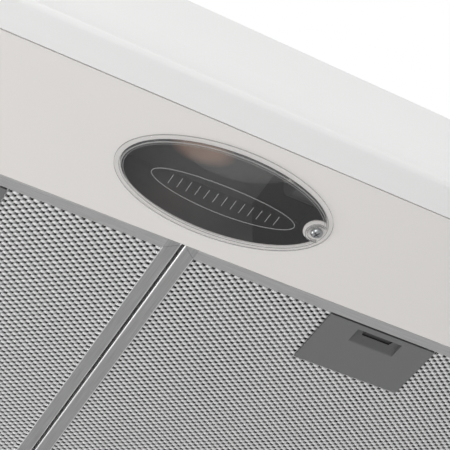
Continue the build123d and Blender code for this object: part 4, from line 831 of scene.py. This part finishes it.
def revolve(name, outline, x, y, steps, material):
    """Solid of revolution from (radius, z) pairs, closed by a flat face at each end."""
    verts, faces = [], []
    for r, z in outline:
        for k in range(steps):
            angle = 2 * math.pi * k / steps
            verts.append((x + r * math.cos(angle), y + r * math.sin(angle), z))
    for row in range(len(outline) - 1):
        for k in range(steps):
            m = (k + 1) % steps
            faces.append((row * steps + k, row * steps + m, (row + 1) * steps + m, (row + 1) * steps + k))
    faces.append(tuple(reversed(range(steps))))
    last = (len(outline) - 1) * steps
    faces.append(tuple(range(last, last + steps)))
    data = bpy.data.meshes.new(name)
    data.from_pydata(verts, [], faces)
    data.materials.append(material)
    return link(bpy.data.objects.new(name, data))


head = [(SHANK_R, SCREW_HIGH.z), (SHANK_R, HEAD_TOP + 0.2 * MM)]
head += [(HEAD_R, HEAD_TOP), (HEAD_R, HEAD_TOP - 0.7 * MM)]
head += [(3.25 * MM, HEAD_TOP - 1.15 * MM), (2.7 * MM, SCREW_LOW.z + 0.12 * MM)]
head += [(2.0 * MM, SCREW_LOW.z)]
SCREW_ZINC = metal("screw zinc", (0.42, 0.43, 0.44), 0.32)
screw = revolve("cover_screw", head, SCREW_X, LENS_Y, HEAD_STEPS, SCREW_ZINC)
print("screw head", round(2 * HEAD_R / MM, 1), "mm wide")

# %% [markdown]
# The cross recess is cut by a Boolean with a tapered plus sign, because its sharp edges are
# what makes the head read as a screw. The result is kept as the screw's mesh, so that the
# cutter can be removed.

# %% Cross recess
CROSS_LONG, CROSS_SHORT = 2.1 * MM, 0.42 * MM
CROSS_TURN = 25


def cross_cutter(x, y, low, high):
    """A tapered plus sign, wide at the low end where the recess opens."""
    a, b = CROSS_LONG, CROSS_SHORT
    plus = [(a, b), (b, b), (b, a), (-b, a), (-b, b), (-a, b)]
    plus += [(-px, -py) for px, py in plus]
    turn = math.radians(CROSS_TURN)
    verts = []
    for z, grow in ((low, 1.1), (high, 0.55)):
        for px, py in plus:
            px, py = grow * px, grow * py
            across = px * math.cos(turn) - py * math.sin(turn)
            along = px * math.sin(turn) + py * math.cos(turn)
            verts.append((x + across, y + along, z))
    n = len(plus)
    faces = [tuple(reversed(range(n))), tuple(range(n, 2 * n))]
    faces += [(k, (k + 1) % n, n + (k + 1) % n, n + k) for k in range(n)]
    data = bpy.data.meshes.new("cross")
    data.from_pydata(verts, [], faces)
    return bpy.data.objects.new("cross", data)


cutter = link(cross_cutter(SCREW_X, LENS_Y, SCREW_LOW.z - 0.5 * MM, SCREW_LOW.z + 1.4 * MM))
recess = screw.modifiers.new("recess", "BOOLEAN")
recess.object = cutter
recess.operation = "DIFFERENCE"
bpy.context.view_layer.update()
cut_mesh = bpy.data.meshes.new_from_object(screw.evaluated_get(bpy.context.evaluated_depsgraph_get()))
screw.modifiers.clear()
screw.data = cut_mesh
bpy.data.objects.remove(cutter)
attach(screw, "hood")
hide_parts("lens_screw")
print("screw has", len(screw.data.polygons), "faces")

# %% [markdown]
# The boss is most of a short tube round the screw, part of the cover's moulding. Its wall
# is an outline of insets and depths too, swept only part of the way round.

# %% Boss
BOSS_STEPS = 48
BOSS_FROM, BOSS_TURN = 60, 240
boss_section = [(0.0, 1.2), (0.0, 2.6), (0.4, 2.9), (1.0, 2.9), (1.2, 2.4), (1.2, 1.2)]
boss_outline = [(NOTCH_R - inset * MM, UNDER - depth * MM) for inset, depth in boss_section]


def boss_ring():
    verts, faces = [], []
    angles = [math.radians(BOSS_FROM + BOSS_TURN * k / BOSS_STEPS) for k in range(BOSS_STEPS + 1)]
    for r, z in boss_outline:
        for angle in angles:
            verts.append((SCREW_X + r * math.cos(angle), LENS_Y + r * math.sin(angle), z))
    n = len(angles)
    for row in range(len(boss_outline) - 1):
        for k in range(n - 1):
            faces.append((row * n + k, row * n + k + 1, (row + 1) * n + k + 1, (row + 1) * n + k))
    data = bpy.data.meshes.new("cover_boss")
    data.from_pydata(verts, [], faces)
    # The boss's walls get the painted shade of the line finish.
    walls = [0 if row in (0, 1, len(boss_outline) - 2) else 1 for row in range(len(boss_outline) - 1)]
    data.polygons.foreach_set("material_index", [wall for wall in walls for k in range(n - 1)])
    data.shade_smooth()
    data.materials.append(CLEAR_SHADE_LINE)
    data.materials.append(CLEAR_DOME)
    boss = link(bpy.data.objects.new("cover_boss", data))
    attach(boss, "hood")
    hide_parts("lamp_lens")


boss_ring()
print("boss turns", BOSS_TURN, "degrees")
